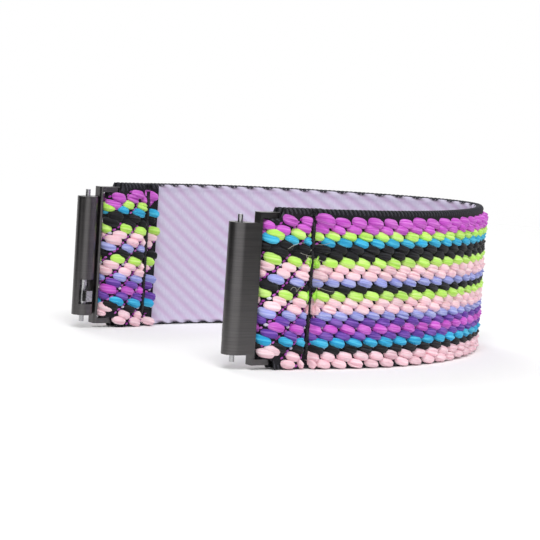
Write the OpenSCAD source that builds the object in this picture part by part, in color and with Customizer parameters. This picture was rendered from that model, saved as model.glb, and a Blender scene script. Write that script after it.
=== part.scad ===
// Stretch band: woven elastic webbing folded round a bar and sewn at both
// ends, each end held in a metal connector with a quick-release spring bar.
// The band stands on its lower edge. X runs from the connectors to the closed
// end, Y across the loop and Z along the width of the webbing.

/* [Loop] */
// Width of the webbing
band_w = 24.4; // [24:0.2:26]
// Distance between the axes of the two spring bars
pin_span = 45; // [42:0.5:50]
// Straight run of each side, from the strap bar to the shoulder
side_run = 14; // [12:0.5:18]
// Outward lean of each side, in degrees
side_lean = 5; // [2:0.5:8]
// Radius of each shoulder, at the lining
shoulder_r = 45; // [40:1:48]
// Turn of each shoulder, in degrees; the nose takes the rest of the half turn
shoulder_turn = 58; // [52:1:60]
// Length of each side that stretches, counted from the sewn end
stretch_len = 35; // [30:0.5:38]

/* [Webbing] */
// Thickness of the lining
lining_t = 0.35; // [0.25:0.05:0.5]
// Thickness of the ground weave, with the rubber inside it
ground_t = 1; // [0.9:0.05:1.3]
// Height of the face yarns over the ground weave
yarn_t = 0.95; // [0.6:0.05:1.2]
// Width of the bare edge of the ground weave, beside the outer rows
selvedge_w = 0.925; // [0.8:0.025:1.2]
// Gap between two rows of face yarn
row_gap = 0.125; // [0.05:0.025:0.3]
// Thickness of the rubber
rubber_t = 0.5; // [0.3:0.05:0.6]
// Distance from the edge of the webbing to the rubber
rubber_inset = 1.4; // [1:0.1:3]
// Room round the rubber in its sleeve
rubber_play = 0.05; // [0.02:0.01:0.08]

/* [Sewn ends] */
// Thickness of the webbing in the fold, as a share of its full thickness
squeeze = 0.7; // [0.6:0.05:0.75]
// Distance from the strap bar to the seam
seam_run = 6.6; // [6:0.2:8]
// Length of the tail past the seam
tail_len = 2; // [1.5:0.1:2.5]
// Length past the seam over which the webbing regains its thickness
flare_len = 1.3; // [0.8:0.1:1.5]
// Gap between the two plies at the seam
ply_gap = 0.08; // [0.04:0.02:0.2]
// Thickness of the sewing thread
thread_d = 0.35; // [0.25:0.05:0.5]
// Distance between two stitches
stitch_pitch = 2; // [1.5:0.1:3]

/* [Connector] */
// Gap between the lugs that the connector fits
lug_gap = 20; // [18:0.5:20]
// Play between the barrel and each lug
barrel_play = 0.1; // [0.05:0.05:0.3]
// Diameter of the barrel round the spring bar
barrel_d = 3.36; // [3.2:0.04:4]
// Height of the front plate over the barrel, at the crease
crease_step = 0.07; // [0.05:0.01:0.2]
// Thickness of the front plate
plate_t = 0.9; // [0.6:0.05:1.1]
// Distance from the spring bar axis to the flange
plate_reach = 2.43; // [2:0.01:4]
// Thickness of the flange, along X
flange_t = 0.5; // [0.4:0.05:1]
// Width of the flange, over its two ears
flange_w = 23; // [22.6:0.1:23.4]
// Depth of the flange and its ears, along Y
flange_depth = 1.9; // [1.8:0.05:2.4]
// Thickness of each ear
ear_t = 0.9; // [0.7:0.05:1]
// Radius of the rounded rear corners
corner_r = 0.5; // [0.2:0.05:0.6]
// Diameter of the strap bar
strap_bar_d = 1.2; // [1:0.05:1.4]
// Play between the strap bar and the fold, or the ears' bores
strap_bar_play = 0.05; // [0.02:0.01:0.08]
// Gap between the folded webbing and the connector
soft_gap = 0.3; // [0.2:0.01:0.5]

/* [Spring bar] */
// Diameter of the tube
tube_d = 1.5; // [1.4:0.05:1.6]
// Wall of the tube
tube_wall = 0.15; // [0.12:0.01:0.16]
// Play between the tube and the barrel's bore
tube_play = 0.05; // [0.02:0.01:0.08]
// Diameter of each tip
tip_d = 0.8; // [0.7:0.02:0.82]
// Length of each tip that stands out of the barrel
tip_out = 1.15; // [0.9:0.05:1.4]
// Play between the plunger and the tube
plunger_play = 0.03; // [0.02:0.01:0.04]
// Length of the plunger inside the tube
plunger_len = 6.5; // [5.5:0.1:7.5]
// Length of the fixed tip's plug inside the tube
plug_len = 2.2; // [1.5:0.1:3]
// Distance from the end of the tube to the knob
knob_in = 3.2; // [3:0.1:3.6]
// Diameter of the knob's stem
stem_d = 0.6; // [0.5:0.02:0.64]
// Width of the knob's head, across the barrel
knob_w = 1.1; // [0.9:0.05:1.2]
// Length of the knob's head, along the barrel
knob_len = 1.8; // [1.4:0.1:2.2]
// Height of the knob's head over the barrel
knob_out = 0.55; // [0.3:0.05:0.8]
// Travel of the knob and the plunger
travel = 1.3; // [1.1:0.05:1.5]
// Turns of the spring
spring_turns = 12; // [8:1:14]
// Thickness of the spring's wire
wire_d = 0.2; // [0.14:0.02:0.22]

/* [Hidden] */

MAGENTA = "#da6ed8";
LIME = "#c3f564";
AZURE = "#3cb4e1";
BLACK = "#232328";
PINK = "#f8d4da";
PERIWINKLE = "#a5a5e6";
PURPLE = "#7d55b9";
LAVENDER = "#cdc8e1";
GUNMETAL = "#4a4a4e";
STEEL = "#a8a9ad";
RUBBER = "#8c8478";

// Colours of the rows of face yarn, from the upper edge down
ROWS = [MAGENTA, MAGENTA, LIME, AZURE, BLACK, BLACK, LIME, PINK, PINK, PERIWINKLE, BLACK,
    LIME, PINK, PINK, PERIWINKLE, PURPLE, MAGENTA, PURPLE, AZURE, BLACK, PINK, PINK];

$fn = 64;
eps = 0.01;          // overlap of a cut past the face that it opens
chord = 2;           // length of the chords along the loop
fold_step = 12;      // turn of each chord in the fold, in degrees
joint_gap = 0.1;     // gap between two stretches of webbing
past_tail = 1.9;     // length of the sewn end past its tail
ear_swing = 0.4;     // gap between the ears' round ends and the full width of the fold
knob_room = 0.5;     // gap between the knob and each end of its window
knob_foot = 0.15;    // gap between the tube and the knob's head
window_share = 0.78; // width of the knob's window, as a share of the barrel
stitch_play = 0.03;  // gap between the thread and the webbing under it
bar_inset = 0.1;     // depth of the strap bar's ends under the ears' faces
cover_root = 0.2;    // wall between the bore and the root of the cover
past = 1;            // reach of a cut past what it cuts

// Layers of the webbing, as distances from the lining's surface
ground_at = lining_t;
face_at = ground_at + ground_t;
band_t = face_at + yarn_t;
rubber_at = ground_at + (ground_t - rubber_t) / 2;
mid_z = band_w / 2;
row_pitch = (band_w - 2 * selvedge_w) / len(ROWS);

// Spring bar and barrel, along Z from the middle of the band
barrel_r = barrel_d / 2;
cover_r = barrel_r + crease_step;
barrel_half = lug_gap / 2 - barrel_play;
bore_r = tube_d / 2 + tube_play;
tube_r = tube_d / 2;
tube_bore_r = tube_r - tube_wall;
tube_half = barrel_half - tube_play;
tip_end = barrel_half + tip_out;
plunger_top = -tube_half + plunger_len;
knob_z = -tube_half + knob_in;
spring_top = tube_half - plug_len;

// Strap bar, from the spring bar axis
strap_bar_r = strap_bar_d / 2;
fold_r = strap_bar_r + strap_bar_play;
flange_end = plate_reach + flange_t;
bar_reach = flange_end + soft_gap + squeeze * band_t + fold_r;
bar_in = cover_r - flange_depth / 2;

// Loop, from the spring bar axis: run along X and distance from the XZ plane
shoulder_end = shoulder_turn - side_lean;
start_y = pin_span / 2 + bar_in + ply_gap / 2 * cos(side_lean);
run_x = bar_reach - ply_gap / 2 * sin(side_lean) + side_run * cos(side_lean);
run_y = start_y + side_run * sin(side_lean);
shoulder_cx = run_x + shoulder_r * sin(side_lean);
shoulder_cy = run_y - shoulder_r * cos(side_lean);
nose_r = (shoulder_cy + shoulder_r * cos(shoulder_end)) / cos(shoulder_end);
nose_cx = shoulder_cx + (shoulder_r - nose_r) * sin(shoulder_end);
nose_reach = nose_cx + nose_r;

// The spring bar axis and the bar of the near end; X is centred on the band
pin_x = (barrel_r - nose_reach - band_t) / 2;
pin_y = -pin_span / 2;
bar_x = pin_x + bar_reach;
bar_y = pin_y - bar_in;

// Distances along the band from the strap bar
shoulder_len = shoulder_r * shoulder_turn * PI / 180;
half_len = side_run + shoulder_len + nose_r * (90 - shoulder_end) * PI / 180;
loop_end = seam_run + tail_len + past_tail;
side_end = loop_end + stretch_len;
fold_lean = asin((fold_r - ply_gap / 2) / seam_run);
ear_in = flange_w / 2 - ear_t;
ear_room = ear_in - soft_gap;
ear_room_x = flange_depth / 2 + ear_swing;

// A path is a list of [x, y, heading, thickness share]. The face of the
// webbing lies to the right of the heading.
function reversed(list) = [for (i = [len(list) - 1:-1:0]) list[i]];
function edge(path, t) = [for (p = path)
    [p[0] + t * p[3] * sin(p[2]), p[1] - t * p[3] * cos(p[2])]];
function on_arc(cx, cy, r, heading, share) =
    [cx + r * sin(heading), cy - r * cos(heading), heading, share];
function flipped(p) = [p[0], -p[1], 180 - p[2], p[3]];

// Point of the lining's surface at distance s from the near strap bar
function band_point(s) =
    s < side_run
        ? [pin_x + run_x - (side_run - s) * cos(side_lean),
           -run_y + (side_run - s) * sin(side_lean), -side_lean, 1]
    : s < side_run + shoulder_len
        ? on_arc(pin_x + shoulder_cx, -shoulder_cy, shoulder_r,
            -side_lean + (s - side_run) / shoulder_r * 180 / PI, 1)
    : on_arc(pin_x + nose_cx, 0, nose_r,
        shoulder_end + (s - side_run - shoulder_len) / nose_r * 180 / PI, 1);

function band_path(s0, s1) =
    let (n = ceil((s1 - s0) / chord))
    [for (i = [0:n]) band_point(s0 + (s1 - s0) * i / n)];

side_path = band_path(loop_end + joint_gap, side_end);
half_back = band_path(side_end + joint_gap, half_len);
back_path = concat(half_back,
    [for (i = [len(half_back) - 2:-1:0]) flipped(half_back[i])]);

// The fold, seen from the strap bar: tail, half turn round the bar, front ply
fold_turns = ceil((180 + 2 * fold_lean) / fold_step);
loop_path = concat(
    [[seam_run + tail_len, ply_gap / 2, 180, squeeze],
     [seam_run, ply_gap / 2, 180 - fold_lean / 2, squeeze]],
    [for (i = [0:fold_turns])
        on_arc(0, 0, fold_r, 180 - fold_lean + (180 + 2 * fold_lean) * i / fold_turns, squeeze)],
    [[seam_run, -ply_gap / 2, 360 + fold_lean / 2, squeeze],
     [seam_run + thread_d, -ply_gap / 2, 360, squeeze],
     [seam_run + thread_d + flare_len, -ply_gap / 2, 360, 1],
     [loop_end, -ply_gap / 2, 360, 1]]);

// A strip of one layer between two distances from the lining's surface
module strip(path, t0, t1, z0, z1)
    translate([0, 0, z0])
        linear_extrude(z1 - z0)
            polygon(concat(edge(path, t0), reversed(edge(path, t1))));

module ground(path)
    color(BLACK)
        difference() {
            union() {
                strip(path, ground_at, face_at, 0, band_w);
                strip(path, 0, ground_at, 0, selvedge_w);
                strip(path, 0, ground_at, band_w - selvedge_w, band_w);
            }
            sleeve_cut(path);
        }

module sleeve_cut(path)
    strip(path, rubber_at - rubber_play, rubber_at + rubber_t + rubber_play,
        rubber_inset - rubber_play, band_w - rubber_inset + rubber_play);

module rubber(path)
    color(RUBBER)
        strip(path, rubber_at, rubber_at + rubber_t, rubber_inset, band_w - rubber_inset);

module lining(path)
    color(LAVENDER)
        strip(path, 0, ground_at, selvedge_w, band_w - selvedge_w);

module face_rows(path)
    for (i = [0:len(ROWS) - 1])
        color(ROWS[i])
            strip(path, face_at, band_t,
                band_w - selvedge_w - (i + 1) * row_pitch + row_gap / 2,
                band_w - selvedge_w - i * row_pitch - row_gap / 2);

// Places a shape that is drawn from the near strap bar
module at_bar()
    translate([bar_x, bar_y, 0])
        rotate(-side_lean)
            children();

// Room for the two ears, past which the fold is only as wide as the slot
module ears_room()
    for (side = [-1, 1])
        translate([0, 0, mid_z + side * (ear_room + band_w / 2)])
            translate([ear_room_x - band_w, -band_w / 2, -band_w / 2])
                cube(band_w);

// Needle holes: one through both plies for each stitch
stitches = floor((band_w - 2 * rubber_inset) / stitch_pitch);
stitch_z0 = mid_z - stitches * stitch_pitch / 2;
rail_at = squeeze * face_at / cos(fold_lean) + ply_gap / 2
    + (thread_d / 2 + stitch_play) * tan(fold_lean) + stitch_play;
module needle_holes(room)
    for (i = [0:stitches])
        translate([seam_run - thread_d / 2 - room, -rail_at - past,
            stitch_z0 + i * stitch_pitch - thread_d / 2 - room])
            cube([thread_d + 2 * room, 2 * (rail_at + past), thread_d + 2 * room]);

// Groove in the face yarns, along the seam
module seam_groove()
    translate([seam_run - thread_d, -band_w / 2, -past])
        cube([2 * thread_d, band_w, band_w + 2 * past]);

module webbing_loop_a()
    at_bar()
        difference() {
            ground(loop_path);
            ears_room();
            needle_holes(rubber_play);
        }

module rubber_loop_a()
    at_bar()
        difference() {
            rubber(loop_path);
            ears_room();
            needle_holes(rubber_play);
        }

module lining_loop_a()
    at_bar()
        difference() {
            lining(loop_path);
            ears_room();
            needle_holes(rubber_play);
        }

module face_loop_a()
    at_bar()
        difference() {
            face_rows(loop_path);
            ears_room();
            seam_groove();
        }

// A lockstitch: a thread along each face, joined through the needle holes
module seam_thread_a()
    color(BLACK)
        at_bar() {
            for (side = [-1, 1])
                translate([seam_run - thread_d / 2,
                    side * (rail_at + thread_d / 2) - thread_d / 2, stitch_z0 - thread_d / 2])
                    cube([thread_d, thread_d, stitches * stitch_pitch + thread_d]);
            for (i = [0:stitches])
                translate([seam_run - thread_d / 2, -rail_at - thread_d / 2,
                    stitch_z0 + i * stitch_pitch - thread_d / 2])
                    cube([thread_d, 2 * rail_at + thread_d, thread_d]);
        }

// Places a shape that is drawn from the middle of the near spring bar
module at_pin()
    translate([pin_x, pin_y, mid_z])
        children();

module rear_corner(x, turn)
    translate([x, 0, 0])
        rotate(turn)
            difference() {
                translate([-eps, -eps, -lug_gap])
                    cube([corner_r + eps, corner_r + eps, 2 * lug_gap]);
                translate([corner_r, corner_r, -lug_gap - past])
                    cylinder(r = corner_r, h = 2 * (lug_gap + past));
            }

// Barrel with its cover, front plate, flange and ears in one piece of steel
module connector_a()
    color(GUNMETAL)
        at_pin()
            difference() {
                union() {
                    translate([0, 0, -barrel_half])
                        cylinder(r = barrel_r, h = 2 * barrel_half);
                    translate([0, 0, -barrel_half])
                        rotate(225)
                            rotate_extrude(angle = 45)
                                translate([bore_r + cover_root, 0])
                                    square([cover_r - bore_r - cover_root, 2 * barrel_half]);
                    translate([0, -cover_r, -barrel_half])
                        cube([plate_reach + eps, plate_t, 2 * barrel_half]);
                    translate([plate_reach, -cover_r, -flange_w / 2])
                        cube([flange_t, flange_depth, flange_w]);
                    for (side = [-1, 1])
                        ear(side);
                }
                translate([0, 0, -barrel_half - past])
                    cylinder(r = bore_r, h = 2 * (barrel_half + past));
                knob_window();
                translate([0, -cover_r + flange_depth, 0])
                    rear_corner(plate_reach, -90);
                translate([bar_reach, -bar_in, -flange_w / 2 - past])
                    cylinder(r = strap_bar_r, h = flange_w + 2 * past);
            }

module ear(side)
    translate([0, 0, side * (flange_w - ear_t) / 2 - ear_t / 2]) {
        translate([plate_reach + flange_t / 2, -cover_r, 0])
            cube([bar_reach - plate_reach - flange_t / 2, flange_depth, ear_t]);
        translate([bar_reach, -bar_in, 0])
            cylinder(r = flange_depth / 2, h = ear_t);
    }

// Window on the wrist side, where the knob travels and the bar may turn
window_w = barrel_d * window_share;
module knob_window()
    translate([-window_w / 2, tube_r / 2, knob_z - knob_len / 2 - knob_room])
        cube([window_w, barrel_d, knob_len + travel + 2 * knob_room]);

module strap_bar_a()
    color(STEEL)
        at_pin()
            translate([bar_reach, -bar_in, -flange_w / 2 + bar_inset])
                cylinder(r = strap_bar_r, h = flange_w - 2 * bar_inset);

module bar_tube_a()
    color(STEEL)
        at_pin()
            difference() {
                translate([0, 0, -tube_half])
                    cylinder(r = tube_r, h = 2 * tube_half);
                translate([0, 0, -tube_half - past])
                    cylinder(r = tube_bore_r, h = 2 * (tube_half + past));
                translate([-stem_d / 2 - tube_play, 0, knob_z - stem_d / 2 - tube_play])
                    cube([stem_d + 2 * tube_play, tube_d, stem_d + travel + 2 * tube_play]);
            }

module fixed_tip_a()
    color(STEEL)
        at_pin() {
            translate([0, 0, spring_top])
                cylinder(r = tube_bore_r, h = plug_len);
            translate([0, 0, tube_half - eps])
                cylinder(r = tip_d / 2, h = tip_end - tube_half + eps);
        }

module plunger_a()
    color(STEEL)
        at_pin()
            difference() {
                union() {
                    translate([0, 0, -tube_half])
                        cylinder(r = tube_bore_r - plunger_play, h = plunger_len);
                    translate([0, 0, -tip_end])
                        cylinder(r = tip_d / 2, h = tip_end - tube_half + eps);
                }
                translate([0, 0, knob_z])
                    rotate([-90, 0, 0])
                        cylinder(r = stem_d / 2, h = tube_d);
            }

// The head's foot clears the tube, and its top stands over the barrel
module release_knob_a()
    color(STEEL)
        at_pin()
            translate([0, 0, knob_z]) {
                rotate([-90, 0, 0])
                    cylinder(r = stem_d / 2, h = barrel_r);
                translate([-knob_w / 2, tube_r + knob_foot, -knob_len / 2])
                    cube([knob_w, barrel_r - tube_r - knob_foot + knob_out, knob_len]);
            }

// The spring: one round wire along a helix, between the plug and the plunger
coil_r = tube_bore_r - plunger_play - wire_d / 2;
spring_z0 = plunger_top + wire_d / 2;
spring_len = spring_top - plunger_top - wire_d;
rings = 8 * spring_turns;
wire_sides = 6;
spring_rise = atan2(spring_len / spring_turns, 2 * PI * coil_r);
function spring_point(i, j) =
    let (a = 360 * spring_turns * i / rings,
         b = 360 * j / wire_sides,
         r = coil_r + wire_d / 2 * cos(b),
         up = wire_d / 2 * sin(b))
    [r * cos(a) + up * sin(spring_rise) * sin(a),
     r * sin(a) - up * sin(spring_rise) * cos(a),
     spring_z0 + spring_len * i / rings + up * cos(spring_rise)];
wire_gap = spring_len / spring_turns * cos(spring_rise) - wire_d;
echo(least_gap_of_the_spring_to_itself = wire_gap);

module bar_spring_a()
    color(STEEL)
        at_pin()
            polyhedron(
                points = [for (i = [0:rings]) for (j = [0:wire_sides - 1]) spring_point(i, j)],
                faces = concat(
                    [[for (j = [0:wire_sides - 1]) j]],
                    [for (i = [0:rings - 1]) for (j = [0:wire_sides - 1])
                        let (k = (j + 1) % wire_sides, p = i * wire_sides)
                        each [[p + j, p + wire_sides + j, p + wire_sides + k],
                              [p + j, p + wire_sides + k, p + k]]],
                    [[for (j = [wire_sides - 1:-1:0]) rings * wire_sides + j]]));

// The far end mirrors the near one
module far_end()
    mirror([0, 1, 0])
        children();

module webbing_back() ground(back_path);
module rubber_back() rubber(back_path);
module lining_back() lining(back_path);
module face_back() face_rows(back_path);
module webbing_side_a() ground(side_path);
module rubber_side_a() rubber(side_path);
module lining_side_a() lining(side_path);
module face_side_a() face_rows(side_path);

webbing_back();
rubber_back();
lining_back();
face_back();
webbing_side_a();
rubber_side_a();
lining_side_a();
face_side_a();
far_end() webbing_side_a();  // webbing_side_b
far_end() rubber_side_a();  // rubber_side_b
far_end() lining_side_a();  // lining_side_b
far_end() face_side_a();  // face_side_b
webbing_loop_a();
rubber_loop_a();
lining_loop_a();
face_loop_a();
seam_thread_a();
far_end() webbing_loop_a();  // webbing_loop_b
far_end() rubber_loop_a();  // rubber_loop_b
far_end() lining_loop_a();  // lining_loop_b
far_end() face_loop_a();  // face_loop_b
far_end() seam_thread_a();  // seam_thread_b
connector_a();
strap_bar_a();
far_end() connector_a();  // connector_b
far_end() strap_bar_a();  // strap_bar_b
bar_tube_a();
fixed_tip_a();
bar_spring_a();
plunger_a();
release_knob_a();
far_end() bar_tube_a();  // bar_tube_b
far_end() fixed_tip_a();  // fixed_tip_b
far_end() bar_spring_a();  // bar_spring_b
far_end() plunger_a();  // plunger_b
far_end() release_knob_a();  // release_knob_b
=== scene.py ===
# %% [markdown]
# # A striped stretch band for a watch
# The band is one length of woven elastic. Its two ends are folded round steel
# bars, sewn, and held in blackened steel connectors with quick-release spring
# bars. The frame gives every piece its true size and place. This script gives
# the pieces their looks: the puffed yarn rows, the ribbed edges, the lining,
# the seams and the brushed metal.

# %% Load the frame
import math

import bpy
import numpy as np
from mathutils import Matrix, Vector


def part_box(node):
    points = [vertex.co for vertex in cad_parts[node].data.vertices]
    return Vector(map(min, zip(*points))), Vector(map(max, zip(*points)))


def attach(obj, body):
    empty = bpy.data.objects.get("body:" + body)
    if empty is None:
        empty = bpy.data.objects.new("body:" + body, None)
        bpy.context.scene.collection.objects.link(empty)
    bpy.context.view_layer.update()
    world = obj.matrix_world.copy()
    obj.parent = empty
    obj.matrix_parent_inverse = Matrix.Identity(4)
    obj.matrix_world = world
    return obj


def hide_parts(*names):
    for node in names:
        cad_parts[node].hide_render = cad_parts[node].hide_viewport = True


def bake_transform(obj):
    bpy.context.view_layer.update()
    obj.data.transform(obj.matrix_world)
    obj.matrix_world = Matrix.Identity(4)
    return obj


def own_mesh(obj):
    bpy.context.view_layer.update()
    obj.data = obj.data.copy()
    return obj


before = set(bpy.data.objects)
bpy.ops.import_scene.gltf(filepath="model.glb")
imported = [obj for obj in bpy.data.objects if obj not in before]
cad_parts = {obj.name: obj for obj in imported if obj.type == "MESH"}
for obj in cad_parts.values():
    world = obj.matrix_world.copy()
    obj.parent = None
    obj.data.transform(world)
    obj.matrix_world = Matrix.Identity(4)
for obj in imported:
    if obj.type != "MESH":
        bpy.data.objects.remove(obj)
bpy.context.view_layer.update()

MM = 0.001
ENDS = ("a", "b")

# %% [markdown]
# ## The camera
# A product photographer stands well back with a long lens, so that the near
# and the far end of the band keep nearly the same scale. The camera here is a
# 135 mm lens a third of a metre away, a little above the band, and leaning by
# four degrees. A camera that tracks the band couldn't lean, so its axes are
# worked out from three angles.

# %% Place the camera
CAMERA_MM = (-201.07, -269.10, 43.62)
CAMERA_AZIMUTH = math.radians(-35.51)
CAMERA_ELEVATION = math.radians(5.42)
CAMERA_ROLL = math.radians(3.71)
LENS_MM = 134.9
SENSOR_MM = 36.0
CLIP_MM = 10.0


def new_object(name, data):
    """An object of the scene that shows a mesh, a lamp or a camera."""
    made = bpy.data.objects.new(name, data)
    bpy.context.scene.collection.objects.link(made)
    return made


def camera_axes(azimuth, elevation, roll):
    """Right, up and forward of a camera that looks at the band."""
    forward = Vector((-math.sin(azimuth) * math.cos(elevation),
                      math.cos(azimuth) * math.cos(elevation), -math.sin(elevation)))
    right = Vector((math.cos(azimuth), math.sin(azimuth), 0))
    up = right.cross(forward)
    leaning = right * math.cos(roll) + up * math.sin(roll)
    return leaning, up * math.cos(roll) - right * math.sin(roll), forward


def place_camera():
    """The camera of the main view."""
    data = bpy.data.cameras.new("camera")
    data.lens = LENS_MM
    data.sensor_width = SENSOR_MM
    data.clip_start = CLIP_MM * MM
    right, up, forward = camera_axes(CAMERA_AZIMUTH, CAMERA_ELEVATION, CAMERA_ROLL)
    turned = Matrix((right, up, -forward)).transposed().to_4x4()
    camera = new_object("camera", data)
    camera.matrix_world = Matrix.Translation(Vector(CAMERA_MM) * MM) @ turned
    bpy.context.scene.camera = camera
    return camera


camera = place_camera()
print("camera at", [round(x, 4) for x in camera.location])

# %% [markdown]
# ## Nodes and colours
# A Blender material is a small graph of nodes. One function adds a node, sets
# it and links it. Colours are written as sRGB hex, the way a colour picker
# shows them, and turned to the linear values that the renderer works in.

# %% Three helpers for materials
def linear(hex_colour):
    """Linear red, green, blue and alpha of an sRGB hex colour."""
    parts = [int(hex_colour[i:i + 2], 16) / 255 for i in (1, 3, 5)]
    turned = [p / 12.92 if p <= 0.04045 else ((p + 0.055) / 1.055) ** 2.4 for p in parts]
    return (*turned, 1.0)


def add(tree, kind, links=None, **settings):
    """Adds a shader node, sets it, and fills its inputs with values or other nodes' outputs."""
    made = tree.nodes.new("ShaderNode" + kind)
    for name, value in settings.items():
        setattr(made, name, value)
    for name, value in (links or {}).items():
        if isinstance(value, bpy.types.NodeSocket):
            tree.links.new(value, made.inputs[name])
        else:
            made.inputs[name].default_value = value
    return made


def new_finish(name):
    """An empty material and its node tree."""
    finish = bpy.data.materials.new(name)
    finish.use_nodes = True
    finish.node_tree.nodes.clear()
    return finish, finish.node_tree


print("middle grey in linear values:", round(linear("#808080")[0], 3))

# %% [markdown]
# ## The studio
# The band stands on a white table in a bright tent. The table is a large disc
# whose rim fades out, so that no horizon shows behind the band, and it keeps
# the soft shadow under it. The world is the tent: it lights the band evenly,
# and rays that look straight at it, or at its reflection, see plain white.

# %% Build the table
TABLE_RADIUS = 1.2
TABLE_SIDES = 96
TABLE_DROP_MM = 0.02
# Distances from the band, in metres, between which the table fades out
TABLE_FADE = (0.10, 0.45)
TABLE_WHITE = "#fbfbfb"


def table_finish():
    """White laminate that fades to nothing away from the band."""
    finish, tree = new_finish("white laminate table")
    place = add(tree, "NewGeometry")
    distance = add(tree, "VectorMath", {0: place.outputs["Position"]}, operation="LENGTH")
    fade = add(tree, "MapRange", {"Value": distance.outputs["Value"],
                                  "From Min": TABLE_FADE[0], "From Max": TABLE_FADE[1]},
               interpolation_type="SMOOTHSTEP")
    white = add(tree, "BsdfDiffuse", {"Color": linear(TABLE_WHITE)})
    clear = add(tree, "BsdfTransparent")
    mixed = add(tree, "MixShader", {0: fade.outputs["Result"], 1: white.outputs[0],
                                    2: clear.outputs[0]})
    add(tree, "OutputMaterial", {"Surface": mixed.outputs[0]})
    return finish


def build_table():
    """A disc a hair under the band, so that the two never share a surface."""
    turns = [2 * math.pi * i / TABLE_SIDES for i in range(TABLE_SIDES)]
    rim = [(TABLE_RADIUS * math.cos(turn), TABLE_RADIUS * math.sin(turn), 0) for turn in turns]
    mesh = bpy.data.meshes.new("table")
    mesh.from_pydata(rim, [], [list(range(TABLE_SIDES))])
    mesh.materials.append(table_finish())
    table = new_object("table", mesh)
    table.location.z = -TABLE_DROP_MM * MM


build_table()
print("table:", 2 * TABLE_RADIUS, "m across")

# %% Light the tent
TENT_LEVEL = 0.50


def light_tent():
    """The world's light: even for the band, plain white for what looks at it."""
    world = bpy.data.worlds.new("tent")
    world.use_nodes = True
    tree = world.node_tree
    tree.nodes.clear()
    rays = add(tree, "LightPath")
    seen = rays.outputs["Is Camera Ray"]
    for kind in ("Is Glossy Ray", "Is Transmission Ray"):
        seen = add(tree, "Math", {0: seen, 1: rays.outputs[kind]}, operation="MAXIMUM").outputs[0]
    level = add(tree, "MapRange", {"Value": seen, "To Min": TENT_LEVEL, "To Max": 1.0})
    white = add(tree, "Background", {"Color": (1, 1, 1, 1), "Strength": level.outputs["Result"]})
    add(tree, "OutputWorld", {"Surface": white.outputs[0]})
    bpy.context.scene.world = world


light_tent()
# The plain view shows the dyes as they are given
bpy.context.scene.view_settings.view_transform = "Standard"
print("tent level:", TENT_LEVEL)

# %% [markdown]
# ## Lamps and cards
# Three soft boxes model the yarn: a key from the front, and two weaker ones
# beside and behind the band. Dark metal shows what stands round it, so a
# white tent alone would make it look pale. Black cards stand near the
# connector, where a photographer would put them. Only reflections see them.

# %% Hang the lamps
LAMPS = [
    # name, place in metres, size in metres, watts
    ("key", (-0.30, -0.42, 0.65), 0.40, 4.0),
    ("fill", (0.45, -0.50, 0.35), 0.50, 0.8),
    ("back", (0.10, 0.60, 0.55), 0.50, 2.0),
]


def hang_lamp(name, place, size, watts):
    """A square soft box that faces the band."""
    data = bpy.data.lights.new(name, "AREA")
    data.size = size
    data.energy = watts
    lamp = new_object(name, data)
    lamp.location = place
    lamp.rotation_euler = (-Vector(place)).to_track_quat("-Z", "Y").to_euler()


for lamp in LAMPS:
    hang_lamp(*lamp)
print("lamps:", [name for name, *_ in LAMPS])

# %% Stand the black cards
FELT_BLACK = "#050505"
FLAGS = [
    # foot of the card, the place that it faces, width and height, all in millimetres
    ((14, -84, 0), (-30, -24, 0), 60, 90),
    ((-92, -8, 0), (-32, -22, 0), 60, 90),
    ((-78, 46, 0), (-28, -22, 0), 50, 90),
]


def felt_finish():
    """Black felt, which swallows light."""
    finish, tree = new_finish("black felt")
    black = add(tree, "BsdfDiffuse", {"Color": linear(FELT_BLACK)})
    add(tree, "OutputMaterial", {"Surface": black.outputs[0]})
    return finish


def stand_flag(felt, foot_mm, faces_mm, width_mm, height_mm):
    """A black card that only reflections see."""
    foot, top = Vector(foot_mm), Vector((0, 0, height_mm))
    ahead = (Vector(faces_mm) - foot).normalized()
    side = ahead.cross(Vector((0, 0, 1))) * width_mm / 2
    corners = [foot - side, foot + side, foot + side + top, foot - side + top]
    mesh = bpy.data.meshes.new("flag")
    mesh.from_pydata([corner * MM for corner in corners], [], [(0, 1, 2, 3)])
    mesh.materials.append(felt)
    flag = new_object("flag", mesh)
    for kind in ("camera", "diffuse", "transmission", "shadow", "volume_scatter"):
        setattr(flag, "visible_" + kind, False)


FELT = felt_finish()
for flag in FLAGS:
    stand_flag(FELT, *flag)
print("cards:", len(FLAGS))

# %% [markdown]
# ## The line of the band
# Everything woven follows one line: the lining's surface, seen from above. It
# runs from the sewn tail of end a, round the bar, along the near side, round
# the closed end, and back in mirror image. A Bezier curve could be drawn by
# hand instead, but straights and arcs have known lengths, and a weave is
# counted along its length. Each point keeps the heading of the band there, so
# that "outwards" is always known. The bar's place comes from the frame, and
# the rest from a few driving sizes in millimetres.

# %% Driving sizes of the line
def box_mm(node):
    """Lowest and highest corner of a CAD node, in millimetres."""
    low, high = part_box(node)
    return np.array(low) / MM, np.array(high) / MM


def centre_mm(node):
    """Centre of a CAD node's box, in millimetres."""
    low, high = box_mm(node)
    return (low + high) / 2


BAR = centre_mm("strap_bar_a")
BAR_R = (box_mm("strap_bar_a")[1][0] - box_mm("strap_bar_a")[0][0]) / 2
BAND_W = box_mm("webbing_back")[1][2]
MID_Z = BAND_W / 2
# Outward lean of each side, its straight run, and its shoulder
SIDE_LEAN = math.radians(5)
SIDE_RUN = 14.0
SHOULDER_R = 45.0
SHOULDER_TURN = math.radians(58)
# The sewn end: the fold round the bar, the gap between its plies, the seam, the tail, and
# how far from the bar the loop ends
BAR_PLAY = 0.05
FOLD_R = BAR_R + BAR_PLAY
PLY_GAP = 0.08
SEAM_RUN = math.hypot(*(centre_mm("seam_thread_a") - BAR)[:2])
TAIL_LEN = 2.0
LOOP_END = 10.55
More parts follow.
